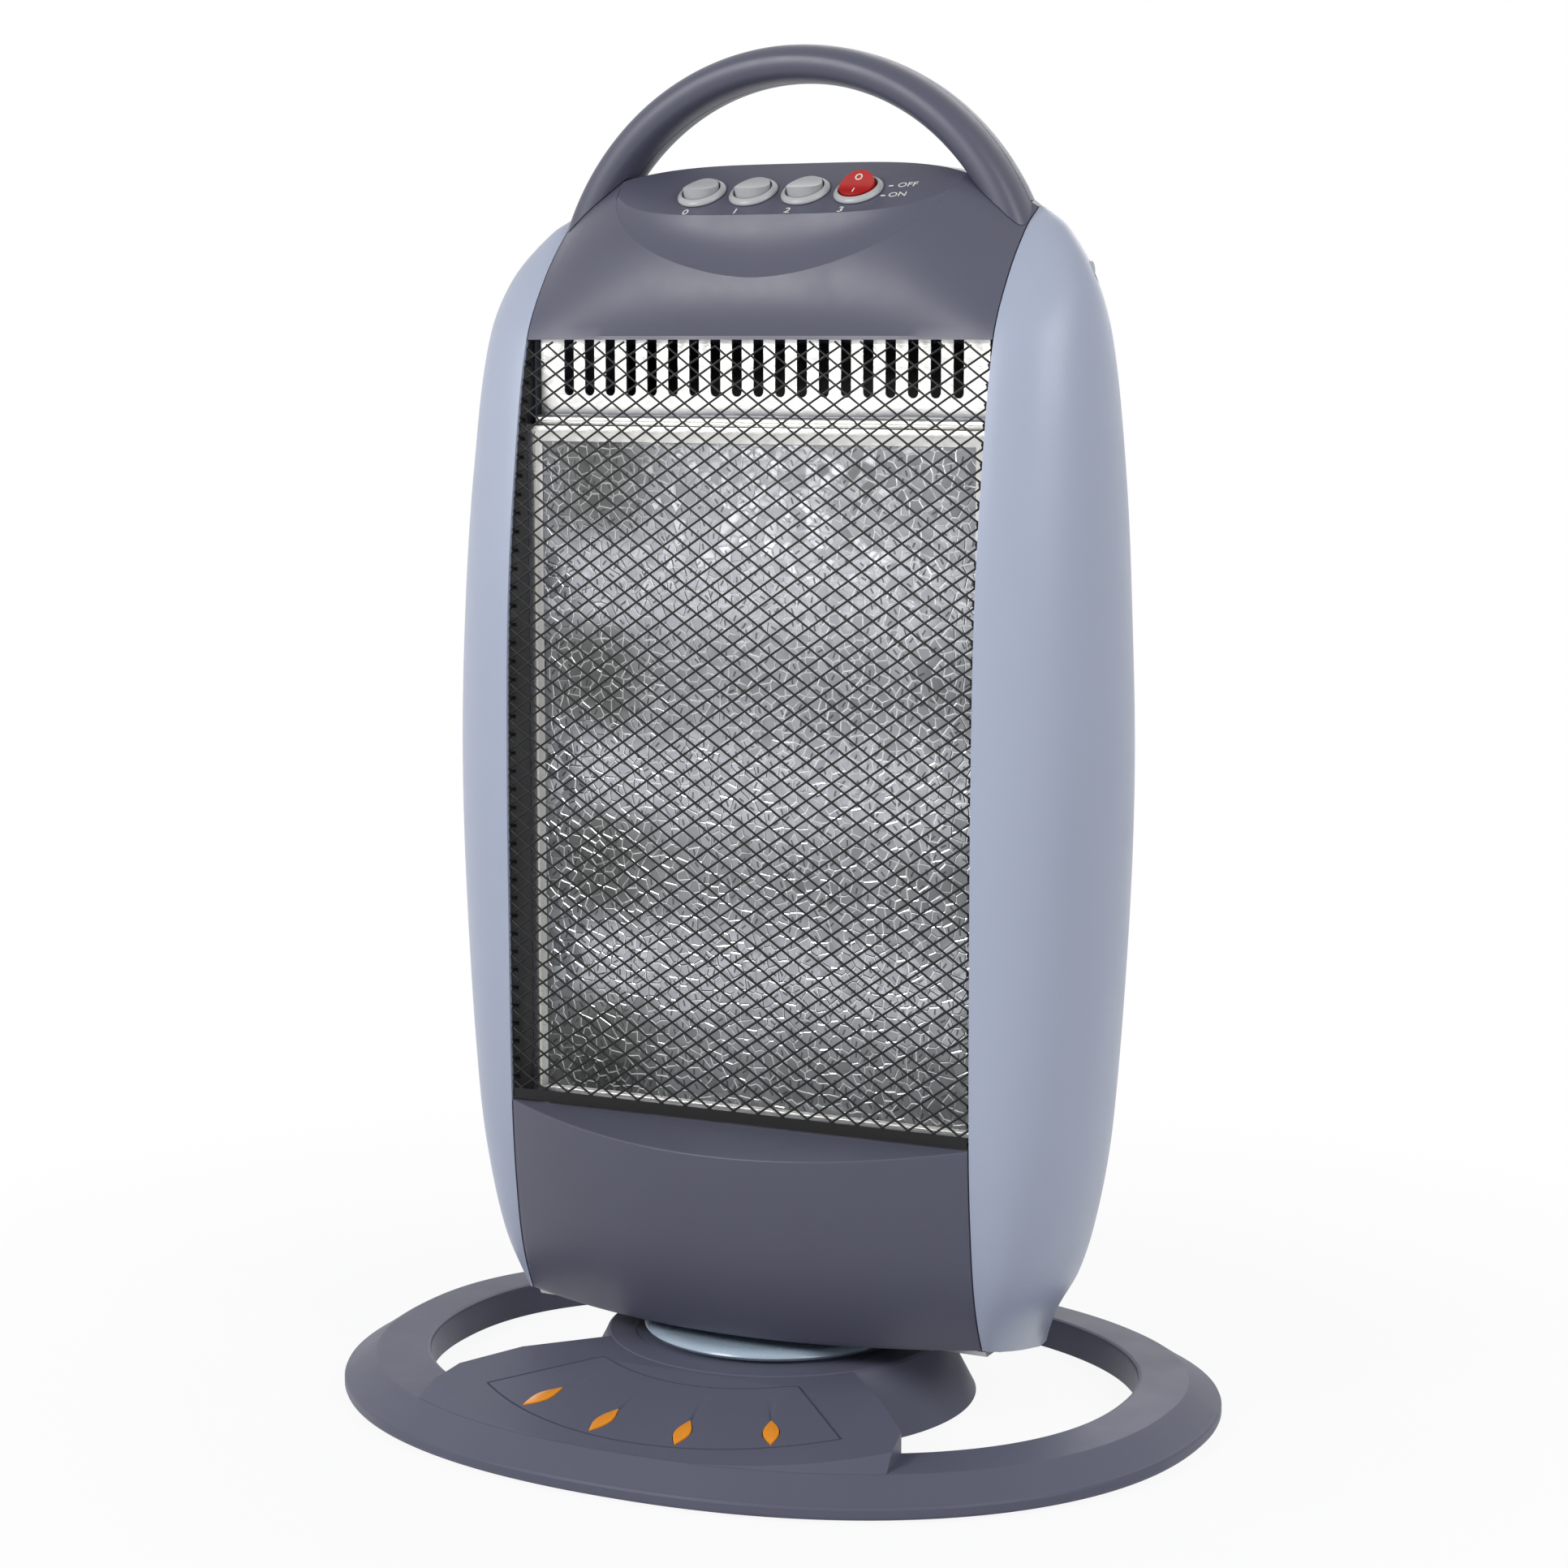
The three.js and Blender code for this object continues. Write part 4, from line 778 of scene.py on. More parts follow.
def oval_mesh(width, front, rear, *levels):
    """An oval skin through (inset, height) levels."""
    rings = []
    for inset, height in levels:
        ring = []
        for a in arc(192):
            c, s = cos(a), sin(a)
            depth = (rear if s > 0 else front) - inset
            ring.append((bent(c, OVAL_POWER) * (width - inset), bent(s, OVAL_POWER) * depth, height))
        rings.append(ring)
    return rings_mesh(rings)


def ring_oval(*levels):
    base = sizes.base
    return oval_mesh(base.half_width, base.front_depth, base.rear_depth, *levels)


def bridge_top(y):
    """Height of the front bridge."""
    base = sizes.base
    slope = (base.hub_top - 0.0005 - base.ring_top) / (BRIDGE_BEND - BRIDGE_END)
    return base.hub_top - 0.0005 - slope * max(0.0, BRIDGE_BEND - y)


def bridge_mesh(inset, drop, bottom):
    base = sizes.base
    edge = inset / cos(atan2(0.045, 0.051))
    half = [(0.048, -0.02), (0.048, -0.040), (0.093, -0.091), (0.101, BRIDGE_END + inset)]
    half = [(x - edge, y) for x, y in half]
    plan = prism_mesh([(-x, y) for x, y in reversed(half)] + half, -0.01, 0.06)
    side = [(-0.02, bottom)] + [(y, bridge_top(y) - drop) for y in (-0.02, BRIDGE_BEND, BRIDGE_END)]
    side.append((BRIDGE_END, bottom))
    rise = base.hub_top - base.ring_top
    run = rise * (base.bevel - 0.0015) / (base.ring_top - base.lip_top)
    inner = base.bevel + inset
    far = inner + run
    levels = [(inner, -0.01), (inner, base.ring_top), (far, base.ring_top + rise), (far + 0.001, 0.04)]
    return meet(prism_mesh(side, -HALL, HALL, "x"), plan, ring_oval(*levels))


def rear_bridge_mesh(inset, drop, bottom):
    base = sizes.base
    high, end = base.hub_top - 0.001 - drop, 0.111 - inset
    side = [(0.02, bottom), (0.02, high), (base.hub_top_radius - 0.006, high)]
    side += [(end, base.ring_top - drop), (end, bottom)]
    return prism_mesh(side, -0.034 + inset, 0.034 - inset, "x")


def fan_outline(inner, outer, inner_half, outer_half):
    """A fan about the swivel axis, from its radii and their half angles in degrees."""
    y0 = sizes.base.swivel_y
    return [
        (radius * sin(a), y0 - radius * cos(a))
        for radius, half in ((outer, outer_half), (inner, -inner_half))
        for a in arc(40, radians(-half), radians(2 * half))
    ]


def leaf_outline(margin):
    half, width = 0.0092 + margin, 0.003 + margin
    right = [(width * sin(pi * i / 20) ** 1.1, -half + 2 * half * i / 20) for i in range(21)]
    return right + [(-x, y) for x, y in reversed(right[1:-1])]


def leaf_place(number):
    """Where a leaf lies on the sloping fan panel, pointing at the swivel axis."""
    base = sizes.base
    angle = radians(16.8 * (number - (base.leaf_count - 1) / 2))
    y = base.swivel_y - LEAF_RADIUS * cos(angle)
    tilt = atan2(bridge_top(BRIDGE_BEND) - bridge_top(BRIDGE_END), BRIDGE_BEND - BRIDGE_END)
    return shift(LEAF_RADIUS * sin(angle), y, bridge_top(y)) @ spin(tilt, "X") @ spin(angle, "Z")


def ray_cutter(steps=14):
    """A dent that starts narrow at a leaf's inner tip, then widens and runs out towards the hub."""
    rings = []
    for t in [i / steps for i in range(steps + 1)]:
        y = 0.0075 + 0.0225 * t
        half = 0.0005 + 0.0021 * t
        deep = 0.0009 * (1 - t) ** 1.3 + 0.00002
        across = [-1 + 2 * k / 8 for k in range(9)]
        ring = [(half * a, y, -deep * cos(pi / 2 * a) ** 1.5 - 0.000005) for a in across]
        rings.append(ring + [(half, y, 0.004), (-half, y, 0.004)])
    return rings_mesh(rings)


def hub_mesh():
    base = sizes.base
    foot, top, edge, disc = base.hub_radius, base.hub_top, base.hub_top_radius, base.disc_radius
    hub = turned_mesh([
        (0.001, 0.001), (foot, 0.001), (edge + 0.0006, top - 0.003), (edge - 0.0002, top - 0.0012),
        (edge - 0.0014, top - 0.0002), (edge - 0.003, top), (disc + 0.004, top),
        (disc + 0.003, top - 0.0009), (disc - 0.002, top - 0.0009), (disc - 0.003, top), (0.001, top),
    ], base.swivel_y, 128)
    return join(hub, rod_mesh(0.004, 0.001, top, 0, base.swivel_y))


def base_ring_mesh():
    base = sizes.base
    lip, flat, bevel, y0 = base.lip_top, base.ring_top, base.bevel, base.swivel_y
    rim = ring_oval(
        (0.0015, 0.001), (0.0004, 0.0015), (0, 0.0025), (0, lip - 0.0014), (0.0004, lip - 0.0005),
        (0.0015, lip), (bevel - 0.0012, flat - 0.0008), (bevel, flat - 0.0002), (bevel + 0.0015, flat),
    )
    opening = oval_mesh(
        *OPENING, (-0.0015, -0.005), (0, 0.002), (0, flat - 0.0013), (-0.0004, flat - 0.0004),
        (-0.0015, flat), (-0.003, flat + 0.001),
    )
    channel = ring_oval((bevel, -0.005), (bevel, flat - 0.003))
    channel = cut(channel, oval_mesh(*OPENING, (-0.004, -0.006), (-0.004, flat)))
    ring = cut(rim, opening, channel)
    upper = join(ring, hub_mesh(), bridge_mesh(0, 0, 0.001), rear_bridge_mesh(0, 0, 0.001))
    upper = cut(upper, rod_mesh(base.hub_top_radius - 0.006, -0.005, base.hub_top - 0.003, 0, y0, 96))
    core = rod_mesh(base.hub_radius, -0.006, 0.06, 0, y0, 96)
    for bridge in (bridge_mesh, rear_bridge_mesh):
        upper = cut(upper, cut(bridge(0.003, 0.003, -0.005), core))
    fan = prism_mesh(fan_outline(0.077, 0.123, 32.5, 37.4), 0, 0.04)
    fan = cut(fan, prism_mesh(fan_outline(0.0778, 0.1222, 31.9, 36.9), -0.001, 0.041))
    groove = meet(fan, cut(bridge_mesh(0, -0.005, 0), bridge_mesh(-0.005, 0.0007, -0.001)))
    seats = [
        rod_mesh(0.0083, -0.005, 0.005, x, y, 32)
        for x, y in ((-0.118, -0.088), (0.118, -0.088), (-0.118, 0.078), (0.118, 0.078))
    ]
    upper = cut(upper, groove, rod_mesh(0.0149, 0, 0.04, 0, y0), *seats)
    for place in [leaf_place(number) for number in range(base.leaf_count)]:
        pocket = prism_mesh(leaf_outline(0.0003), -0.0014, 0.01)
        upper = cut(upper, moved(pocket, place), moved(ray_cutter(), place))
    return upper


class HEATER_OT_base(bpy.types.Operator):
    """Ring base with its hub, bridges, leaf inserts and swivel disc"""

    bl_idname = "heater.base"
    bl_label = "Base"

    def execute(self, context):
        base = sizes.base
        piece("ring_base", base_ring_mesh(), "base_plastic", ["base_ring"], "base", crease=14)
        for number in range(base.leaf_count):
            leaf = moved(prism_mesh(leaf_outline(0), -0.0011, 0.0005), leaf_place(number))
            leaf = bevelled(leaf, 0.0002, 2, 50)
            piece(f"leaf_{number + 1}", leaf, "amber_plastic", [f"leaf_insert_{number + 1}"], "base")
        low, edge, bore = base.hub_top + 0.0003, base.disc_radius, 0.0123
        disc = turned_mesh([
            (bore, low), (edge - 0.003, low), (edge - 0.0008, low + 0.0006), (edge, low + 0.0018),
            (edge - 0.0006, low + 0.0031), (edge - 0.0022, low + 0.004), (edge - 0.004, low + 0.0043),
            (bore, low + 0.0043),
        ], base.swivel_y, 128)
        piece("disc", disc, "disc_plastic", ["swivel_disc"], crease=50)
        return {"FINISHED"}


# --- shell

SKIRT_CORNER = 0.0348  # height of the lower cover's and the side panels' front corners


def vent_cutters():
    """Two banks of level slots with rounded ends, each grown from one cutter."""
    half, radius = 0.062, 0.0018
    end = [(half - radius + radius * cos(a), radius * sin(a)) for a in arc(8, -pi / 2, pi)]
    meshes = []
    for start in (0.352, 0.080):
        outline = [(x, radius + z) for x, z in end + [(-x, -z) for x, z in end]]
        bank, cutter = Growth("vents", count=6, pitch=0.009), prism_mesh(outline, 0.035, 0.12, "y")
        meshes.append(bank.grow(bank.row("Z", (0, 0, start)), "rear_plastic", cutter))
    return meshes


class HEATER_OT_shell(bpy.types.Operator):
    """Side panels and rear cover"""

    bl_idname = "heater.shell"
    bl_label = "Side panels and rear cover"

    def execute(self, context):
        body = sizes.body
        skin = cut(body_form(0), body_form(body.wall))
        edge = body.seam_x + body.gap / 2
        slope = (SKIRT_CORNER - body.bottom) / (body.seam_y - front_y(SKIRT_CORNER))
        under = prism_mesh([
            (-HALL, -0.05), (body.seam_y, -0.05), (body.seam_y, body.bottom),
            (-HALL, body.bottom + slope * (body.seam_y + HALL)),
        ], -HALL, HALL, "x")
        web = meet(body_form(0.0004), box_mesh(edge, edge + 0.002, -HALL, -0.014, 0, 0.6))
        panel = meet(skin.copy(), box_mesh(edge, HALL, -HALL, body.seam_y - body.gap / 2, 0, 0.6))
        panel = cut(join(panel, web), under, rod_mesh(0.0042, 0.1035, HALL, 0.020, 0.437, 32, "x"))
        piece("side_skin_right", panel, "pale_plastic", ["side_panel_right"], crease=16)
        panel = moved(panel, Matrix.Diagonal((-1, 1, 1, 1)))
        piece("side_skin_left", panel, "pale_plastic", ["side_panel_left"], crease=16)
        rear = meet(skin, box_mesh(-HALL, HALL, body.seam_y + body.gap / 2, HALL, 0, 0.6))
        hub_room = rod_mesh(0.087, 0, 0.0309, 0, sizes.base.swivel_y, 96)
        gland_hole = rod_mesh(0.0093, 0.02, 0.1, 0, 0.052, 32, "y")
        rear = cut(rear, hub_room, gland_hole, *vent_cutters())
        piece("rear_skin", rear, "rear_plastic", ["rear_cover"], crease=16)
        return {"FINISHED"}


# --- covers


def hood_point(x, level):
    """A point of the hood's bowed front, from the height it has before the crown lifts it."""
    centre, _, front, _ = shell_section(level)
    return Vector(crowned(x, centre - front, level, centre))


def panel_edge_level(x):
    """The level at which the hood's front meets the control panel's plane."""
    top = sizes.top
    low, high = sizes.window.top, sizes.body.top
    for _ in range(40):
        middle = (low + high) / 2
        point = hood_point(x, middle)
        if point.z < top.panel_z + (point.y - top.panel_y) * tan(top.panel_tilt):
            low = middle
        else:
            high = middle
    return low


def scoop_mesh(extra):
    """Cuts the crescent hollow below the panel's front edge; extra moves its face back."""
    top = sizes.top
    rings = []
    for k in range(73):
        x = top.scoop_half_width * (k / 36 - 1)
        side = min(1.0, abs(x) / top.scoop_half_width)
        edge = panel_edge_level(x)
        upper = hood_point(x, edge)
        lower = hood_point(x, top.scoop_lowest + (edge - 0.0005 - top.scoop_lowest) * side ** 1.8)
        chord = upper - lower
        front = Vector((0, -chord.z, chord.y)).normalized()
        ring = []
        for share in [i / 16 for i in range(17)]:
            hollow = extra + top.scoop_depth * (1 - side ** 2) * 4 * share * (1 - share)
            ring.append(lower + chord * share - front * hollow)
        rings.append(ring + [upper + front * 0.025, lower + front * 0.025])
    return rings_mesh(rings)


def switch_x(number):
    return sizes.top.switch_pitch * (number - 1.5)


def top_cover_mesh():
    body = sizes.body
    wall = body.wall
    half = body.seam_x - body.gap / 2
    above, below = [on_panel(box_mesh(-0.15, 0.15, -0.08, 0.06, low, 0.09)) for low in (0, -wall)]
    outside = box_mesh(-half, half, -HALL, body.seam_y - body.gap / 2, sizes.window.top, 0.6)
    outside = cut(meet(body_form(0, 140), outside), above, scoop_mesh(0))
    inside = meet(body_form(wall, 140), box_mesh(-half + wall, half - wall, -HALL, 0.3, 0, 0.6))
    inside = cut(inside, below, scoop_mesh(wall))
    holes = [on_panel(rod_mesh(0.0085, -0.03, 0.02, switch_x(i), 0, 32)) for i in range(4)]
    return cut(outside, inside, *holes)


def lower_form(margin, back, bulge=0.0235):
    """The lower cover's form: its front bows out, and a ledge runs back from its sagging edge."""
    body, window = sizes.body, sizes.window
    half = body.seam_x - body.gap / 2 - margin
    ledge = window.bottom + 0.0001 - margin
    ledge_back = front_y(window.bottom) + 0.0025 + margin
    low = SKIRT_CORNER + margin
    rings = []
    for i in range(65):
        x = half * (2 * i / 64 - 1)
        middle = 1 - (x / body.seam_x) ** 2
        high = window.bottom - window.sag * middle - margin
        heights = [low + (high - low) * j / 40 for j in range(41)]
        ring = [(x, front_y(z) - bulge * max(0.0, middle) + margin, z) for z in heights]
        rings.append(ring + [(x, ledge_back, ledge), (x, back, ledge), (x, back, low)])
    return rings_mesh(rings)


class HEATER_OT_covers(bpy.types.Operator):
    """Top cover with the control panel, and the bowed lower cover"""

    bl_idname = "heater.covers"
    bl_label = "Covers"

    def execute(self, context):
        piece("top_hood", top_cover_mesh(), "dark_plastic", ["top_cover"], crease=11)
        back = -0.0243
        shell = cut(lower_form(0, back), lower_form(sizes.body.wall, back + 0.02))
        piece("lower_hood", bevelled(shell, 0.0005, 2, 50), "dark_plastic", ["lower_cover"], crease=20)
        return {"FINISHED"}


# --- handle


def handle_half(sign):
    """The front half of the arch for -1, the rear half for 1."""
    top, gap = sizes.top, sizes.body.gap
    half, thick = top.handle_deep / 2, top.handle_thick / 2
    power = 2 / 2.6
    section = [(-thick, gap / 2 * sign)]
    for a in arc(20, 0, pi):
        y = abs(sin(a)) ** power * half
        section.append((-bent(cos(a), power) * thick, sign * max(y, gap / 2)))
    section.append((thick, gap / 2 * sign))
    rings = []
    for a in arc(160, radians(8), radians(164)):
        across = [(top.handle_radius + r, top.handle_y + y) for r, y in section]
        rings.append([(r * cos(a), y, top.handle_z + r * sin(a)) for r, y in across])
    above = meet(rings_mesh(rings), box_mesh(-HALL, HALL, -0.1, 0.1, 0.449, 0.7))
    return cut(above, body_form(0, 140), moved(body_form(0, 140), shift(0, 0, gap)))


class HEATER_OT_handle(bpy.types.Operator):
    """Arched carrying handle in two halves"""

    bl_idname = "heater.handle"
    bl_label = "Handle"

    def execute(self, context):
        for label, sign in (("front", -1), ("rear", 1)):
            mesh = handle_half(sign)
            piece(f"handle_shell_{label}", mesh, "dark_plastic", [f"handle_{label}"], crease=40)
        return {"FINISHED"}


# --- switches

RED = 3  # the number of the red rocker, counted from 0
# a rocker's dished top: its middle above the pivot, its rim over that, and the rim's radius
DISH_LOWEST, DISH_RISE, DISH_RADIUS = 0.0024, 0.0010, 0.0069
MARK_REACH = 0.0036  # distance of the red rocker's marks from its pivot


def dish_height(y):
    return DISH_LOWEST + DISH_RISE * (y / DISH_RADIUS) ** 2


def rocker_place(number):
    tilt = sizes.top.rocker_tilt * (1 if number == RED else -1)
    return shift(switch_x(number), 0, 0.001) @ spin(tilt, "X")


def rocker_mesh(number):
    """A round key with a dished top and a soft rim, whose sides reach down into the well."""
    line = [(y, dish_height(y)) for y in [0.008 * (i / 12 - 1) for i in range(25)]]
    side = prism_mesh(line + [(0.008, -0.0030), (-0.008, -0.0030)], -0.008, 0.008, "x")
    key = meet(side, rod_mesh(sizes.top.rocker_radius, -0.01, 0.01, 0, 0, 64))
    return on_panel(moved(bevelled(key, 0.0006, 3, 50), rocker_place(number)))


def mark_meshes():
    """The bar on the front end of the red rocker and the ring on its rear end."""
    signs = ((-1, -1), (1, -1), (1, 1), (-1, 1))
    corners = [(0.00125 + r * 0.00022, 0.00012 + s * 0.0001) for r, s in signs]
    bar = box_mesh(-0.0002, 0.0002, -0.0012, 0.0012, 0.00002, 0.00022)
    slope = atan(2 * DISH_RISE * MARK_REACH / DISH_RADIUS ** 2)
    done = []
    for mark, side in ((bar, -1), (turned_mesh(corners, 0, 32), 1)):
        lay = shift(0, side * MARK_REACH, dish_height(MARK_REACH) + 0.00004) @ spin(side * slope, "X")
        done.append(on_panel(moved(mark, rocker_place(RED) @ lay)))
    return done


def lettering_mesh(words, height, x, y, turn):
    """Flat raised letters on the control panel."""
    curve = bpy.data.curves.new("words", "FONT")
    curve.body = words
    curve.size = height
    curve.align_x = curve.align_y = "CENTER"
    curve.extrude = 0.00004
    curve.resolution_u = 4
    return on_panel(moved(baked(scratch(curve)), shift(x, y, 0.00005) @ spin(turn, "Z")))


def panel_marks():
    """ON and OFF with a short lead line each beside the last switch, and a number below each switch."""
    marks = [
        lettering_mesh("OFF", 0.0046, 0.0515, 0.0042, 0.1),
        lettering_mesh("ON", 0.0046, 0.0500, -0.0030, 0.1),
        on_panel(box_mesh(0.0440, 0.0458, 0.0032, 0.0040, 0, 0.0001)),
        on_panel(box_mesh(0.0434, 0.0452, -0.0040, -0.0032, 0, 0.0001)),
    ]
    for number, inward in enumerate((0.0015, 0.0023, 0.0023, 0.0023)):
        marks.append(lettering_mesh(str(number), 0.0052, switch_x(number) - inward, -0.0133, 0.02))
    return merged(*marks)


def switch_mesh():
    """A bezel, a round well and its floor."""
    edge, well, outer = sizes.top.bezel_radius, 0.0076, 0.0082
    bezel = turned_mesh([
        (well, 0.0003), (edge, 0.0003), (edge, 0.0007), (edge - 0.0003, 0.0012), (edge - 0.0013, 0.0021),
        (edge - 0.0017, 0.0022), (0.0078, 0.0022), (well, 0.0020),
    ])
    barrel = turned_mesh([(well, -0.0045), (outer, -0.0045), (outer, 0.0004), (well, 0.0004)])
    return join(bezel, barrel, rod_mesh(outer, -0.016, -0.0044, 0, 0, 96))


class HEATER_OT_switches(bpy.types.Operator):
    """Four round switches with their rockers"""

    bl_idname = "heater.switches"
    bl_label = "Switches"

    def execute(self, context):
        for number in range(4):
            switch = on_panel(moved(switch_mesh(), shift(switch_x(number), 0, 0)))
            piece(f"switch_body_{number + 1}", switch, "grey_plastic", [f"switch_{number + 1}"])
            finish = "red_plastic" if number == RED else "grey_plastic"
            body = f"rocker_{number + 1}"
            piece(f"rocker_key_{number + 1}", rocker_mesh(number), finish, [body], body, crease=12)
        for label, mark in zip(("on", "off"), mark_meshes()):
            piece(f"rocker_mark_{label}", mark, "ceramic", body="rocker_4")
        piece("panel_marks", panel_marks(), "ceramic", crease=80)
        return {"FINISHED"}


# --- window

FRAME_FRONT, FRAME_BACK = -0.0253, -0.0153  # depths of the glass frame
PLATE_FRONT, PLATE_FOOT = -0.0192, 0.3793  # depth of the vent plate, and height of its lower edge


def guard_half():
    return sizes.body.seam_x - 0.0007


def guard_strands():
    """The strands of the expanded sheet, as lines of points in the guard's bowed surface."""
    window, half = sizes.window, guard_half()
    slope = window.diamond_height / window.diamond_width
    low, high = window.bottom - window.sag, window.top - 0.0006
    span = 2 * half * slope
    steps = int(round(4 * half / (window.diamond_width / 2)))
    strands = []
    for direction in (1, -1):
        for k in range(int((high - low + span) / window.diamond_height) + 2):
            line = []
            for i in range(steps + 1):
                x = -half + 2 * half * i / steps
                z = low - span + k * window.diamond_height + (x + half) * slope
                if window.bottom + 0.0008 <= z <= high:
                    line.append(Vector((direction * x, front_y(z) + 0.001, z)))
            if len(line) > 3:
                strands.append(line)
    return strands


def curled(end, step):
    """How a strand turns back over the guard's upright edge: its points beyond the end."""
    out = copysign(1, end.x)
    curl = [
        end + Vector((out * 0.0004 * sin(t), 0.0019 * (1 - cos(t)) / 2 + 0.0002 * t, 0.0005 * step * t))
        for t in (0.8, 1.7, 2.6, 3.4)
    ]
    return curl + [end + Vector((-out * 0.0012, 0.0022, 0.0018 * step))]


def guard_mesh():
    """Round wires along the strands, over a dark rail along the lower edge: the guard's dark rim, which also
    paints the shadow below the pane.
    """
    half, bottom = guard_half(), sizes.window.bottom
    points, edges = [], []
    for path in guard_strands():
        start, end = [abs(abs(tip.x) - half) < 0.0004 for tip in (path[0], path[-1])]
        first_curl = curled(path[0], -1)[::-1] if start else []
        path = first_curl + path + (curled(path[-1], 1) if end else [])
        edges += [(len(points) + i, len(points) + i + 1) for i in range(len(path) - 1)]
        points += path
    seed = bpy.data.meshes.new("strands")
    seed.from_pydata(points, edges, [])
    growth = Growth("guard", radius=sizes.window.wire)
    lines = growth.node("GeometryNodeMeshToCurve", {}, {"Mesh": growth.size()})
    wires = growth.grow(growth.wire(lines, 5, "radius"), "black_wire", seed)
    # the dark rail is the guard's dark rim and also paints the shadow below the pane
    rim_and_shadow_y = front_y(bottom) + 0.0005
    return merged(wires, box_mesh(-half, half, rim_and_shadow_y, rim_and_shadow_y + 0.0010, bottom + 0.0005, bottom + 0.0047))


def vent_plate_mesh():
    """A bright plate whose upper half has upright slots with round feet."""
    body, window = sizes.body, sizes.window
    half = body.seam_x - body.gap / 2 - body.wall - body.gap
    plate = box_mesh(-half, half, PLATE_FRONT, PLATE_FRONT + 0.001, PLATE_FOOT, window.top + 0.004)
    radius = window.slot_width / 2
    foot = [(radius * cos(a), 0.3905 + radius + radius * sin(a)) for a in arc(12, pi, pi)]
    foot += [(radius, window.top + 0.001), (-radius, window.top + 0.001)]
    slot = prism_mesh(foot, -0.03, -0.01, "y")
    bank = Growth("slots", count=window.slots, pitch=window.slot_pitch)
    reach = (bank.size("count") - 1.0) * bank.size("pitch")
    start = bank.node("ShaderNodeCombineXYZ", {}, {"X": reach * -0.5})
    return cut(plate, bank.grow(bank.row("X", start), "bright_sheet", slot))


def frame_mesh():
    """The glass frame: a rounded outer ridge, a flat flange and the rebate for the pane."""
    half = sizes.body.seam_x - sizes.body.gap
    low, high = sizes.window.bottom + 0.0003, 0.379
    outside = box_mesh(-half, half, FRAME_FRONT, FRAME_BACK, low, high)
    flange = box_mesh(-half + 0.0026, half - 0.0026, -0.1, FRAME_FRONT + 0.0009, low + 0.0020, high - 0.0022)
    sight = box_mesh(-0.0912, 0.0912, -0.1, 0.1, 0.1184, 0.373)
    rebate = box_mesh(-0.0927, 0.0927, FRAME_FRONT + 0.001, 0.1, 0.1177, 0.3743)
    return bevelled(cut(outside, flange, sight, rebate), 0.00035, 2, 50)


def lining_mesh(side):
    """A dark sheet that paints the shade on the window's side wall, back to the frame and, above it, to the
    plate.
    """
    window = sizes.window
    edge = sizes.body.seam_x - 0.00005
    low, high = window.bottom + 0.0005, window.top - 0.0005
    line = [low + (high - low) * j / 40 for j in range(41)]
    outline = [(front_y(z) + 0.0018, z) for z in line]
    outline += [(-0.0193, high), (-0.0193, 0.3796), (-0.0262, 0.3796), (-0.0262, low)]
    return rings_mesh([[(side * x, y, z) for y, z in outline] for x in (edge - 0.0004, edge)])


class HEATER_OT_window(bpy.types.Operator):
    """Guard, vent plate, glass frame and patterned pane"""

    bl_idname = "heater.window"
    bl_label = "Window"

    def execute(self, context):
        piece("guard_strands", guard_mesh(), "black_wire", ["guard_net"], crease=80)
        piece("slotted_plate", vent_plate_mesh(), "bright_sheet", ["vent_plate"])
        piece("pane_frame", frame_mesh(), "bright_sheet", ["glass_frame"])
        # the bright_sheet band paints a dark reflection on this bead
        bead = [(-0.0212 - 0.0022 * sin(a), 0.3812 + 0.0021 * cos(a)) for a in arc(20)]
        piece("plate_bead", prism_mesh(bead, -0.0945, 0.0945, "x"), "bright_sheet")
        pane = bevelled(box_mesh(-0.0924, 0.0924, -0.024, -0.020, 0.118, 0.374), 0.0005)
        piece("patterned_pane", pane, "pane_glass", ["glass_pane"])
        # painted shade: dark sheets over the inner faces of the window's side walls
        for label, side in (("right", 1), ("left", -1)):
            piece(f"window_lining_{label}", lining_mesh(side), "black_plastic")
        # painted shade: a dark sheet behind the vent slots, where the inside is in shade
        slot_shade_sheet = bevelled(box_mesh(-0.088, 0.088, 0.040, 0.041, 0.345, 0.410), 0.0003)
        piece("vent_baffle", slot_shade_sheet, "black_plastic")
        return {"FINISHED"}


# --- heating elements

TUBE_Y = -0.002  # depth of the tubes' axes
# along a tube: a place, and the radius there as a share of the tube's own
TUBE_ENDS = ((-0.078, 0.6), (-0.0765, 0.92), (-0.075, 1.0), (0.075, 1.0), (0.0765, 0.92), (0.078, 0.6))


def tube_z(number):
    window = sizes.window
    return window.tube_middle + window.tube_pitch * (number - 1)


def reflector_mesh():
    """A thin sheet with one parabolic trough behind each tube."""
    front = FRAME_BACK + 0.0033
    line = [(front, 0.119)]
    for tube in range(3):
        for i in range(min(tube, 1), 33):
            across = 2 * i / 32 - 1
            height = tube_z(tube) + across * sizes.window.tube_pitch / 2
            line.append((front + 0.026 * (1 - across ** 2), height))
    line.append((front, 0.373))
    return prism_mesh(line + [(y + 0.001, z) for y, z in reversed(line)], -0.0927, 0.0927, "x")


def filament_mesh(z):
    """A loose coil on the tube's axis."""
    coil = Growth("filament", turns=sizes.window.coil_turns, radius=0.0013, wire=0.00022, reach=0.140)
    spiral = coil.node("GeometryNodeCurveSpiral", {}, {
        "Resolution": 10, "Rotations": coil.size("turns"), "Start Radius": coil.size("radius"),
        "End Radius": coil.size("radius"), "Height": coil.size("reach"),
    })
    mesh = coil.grow(coil.wire(spiral, 4, "wire"), "steel")
    return moved(mesh, shift(-0.070, TUBE_Y, z) @ spin(pi / 2, "Y"))


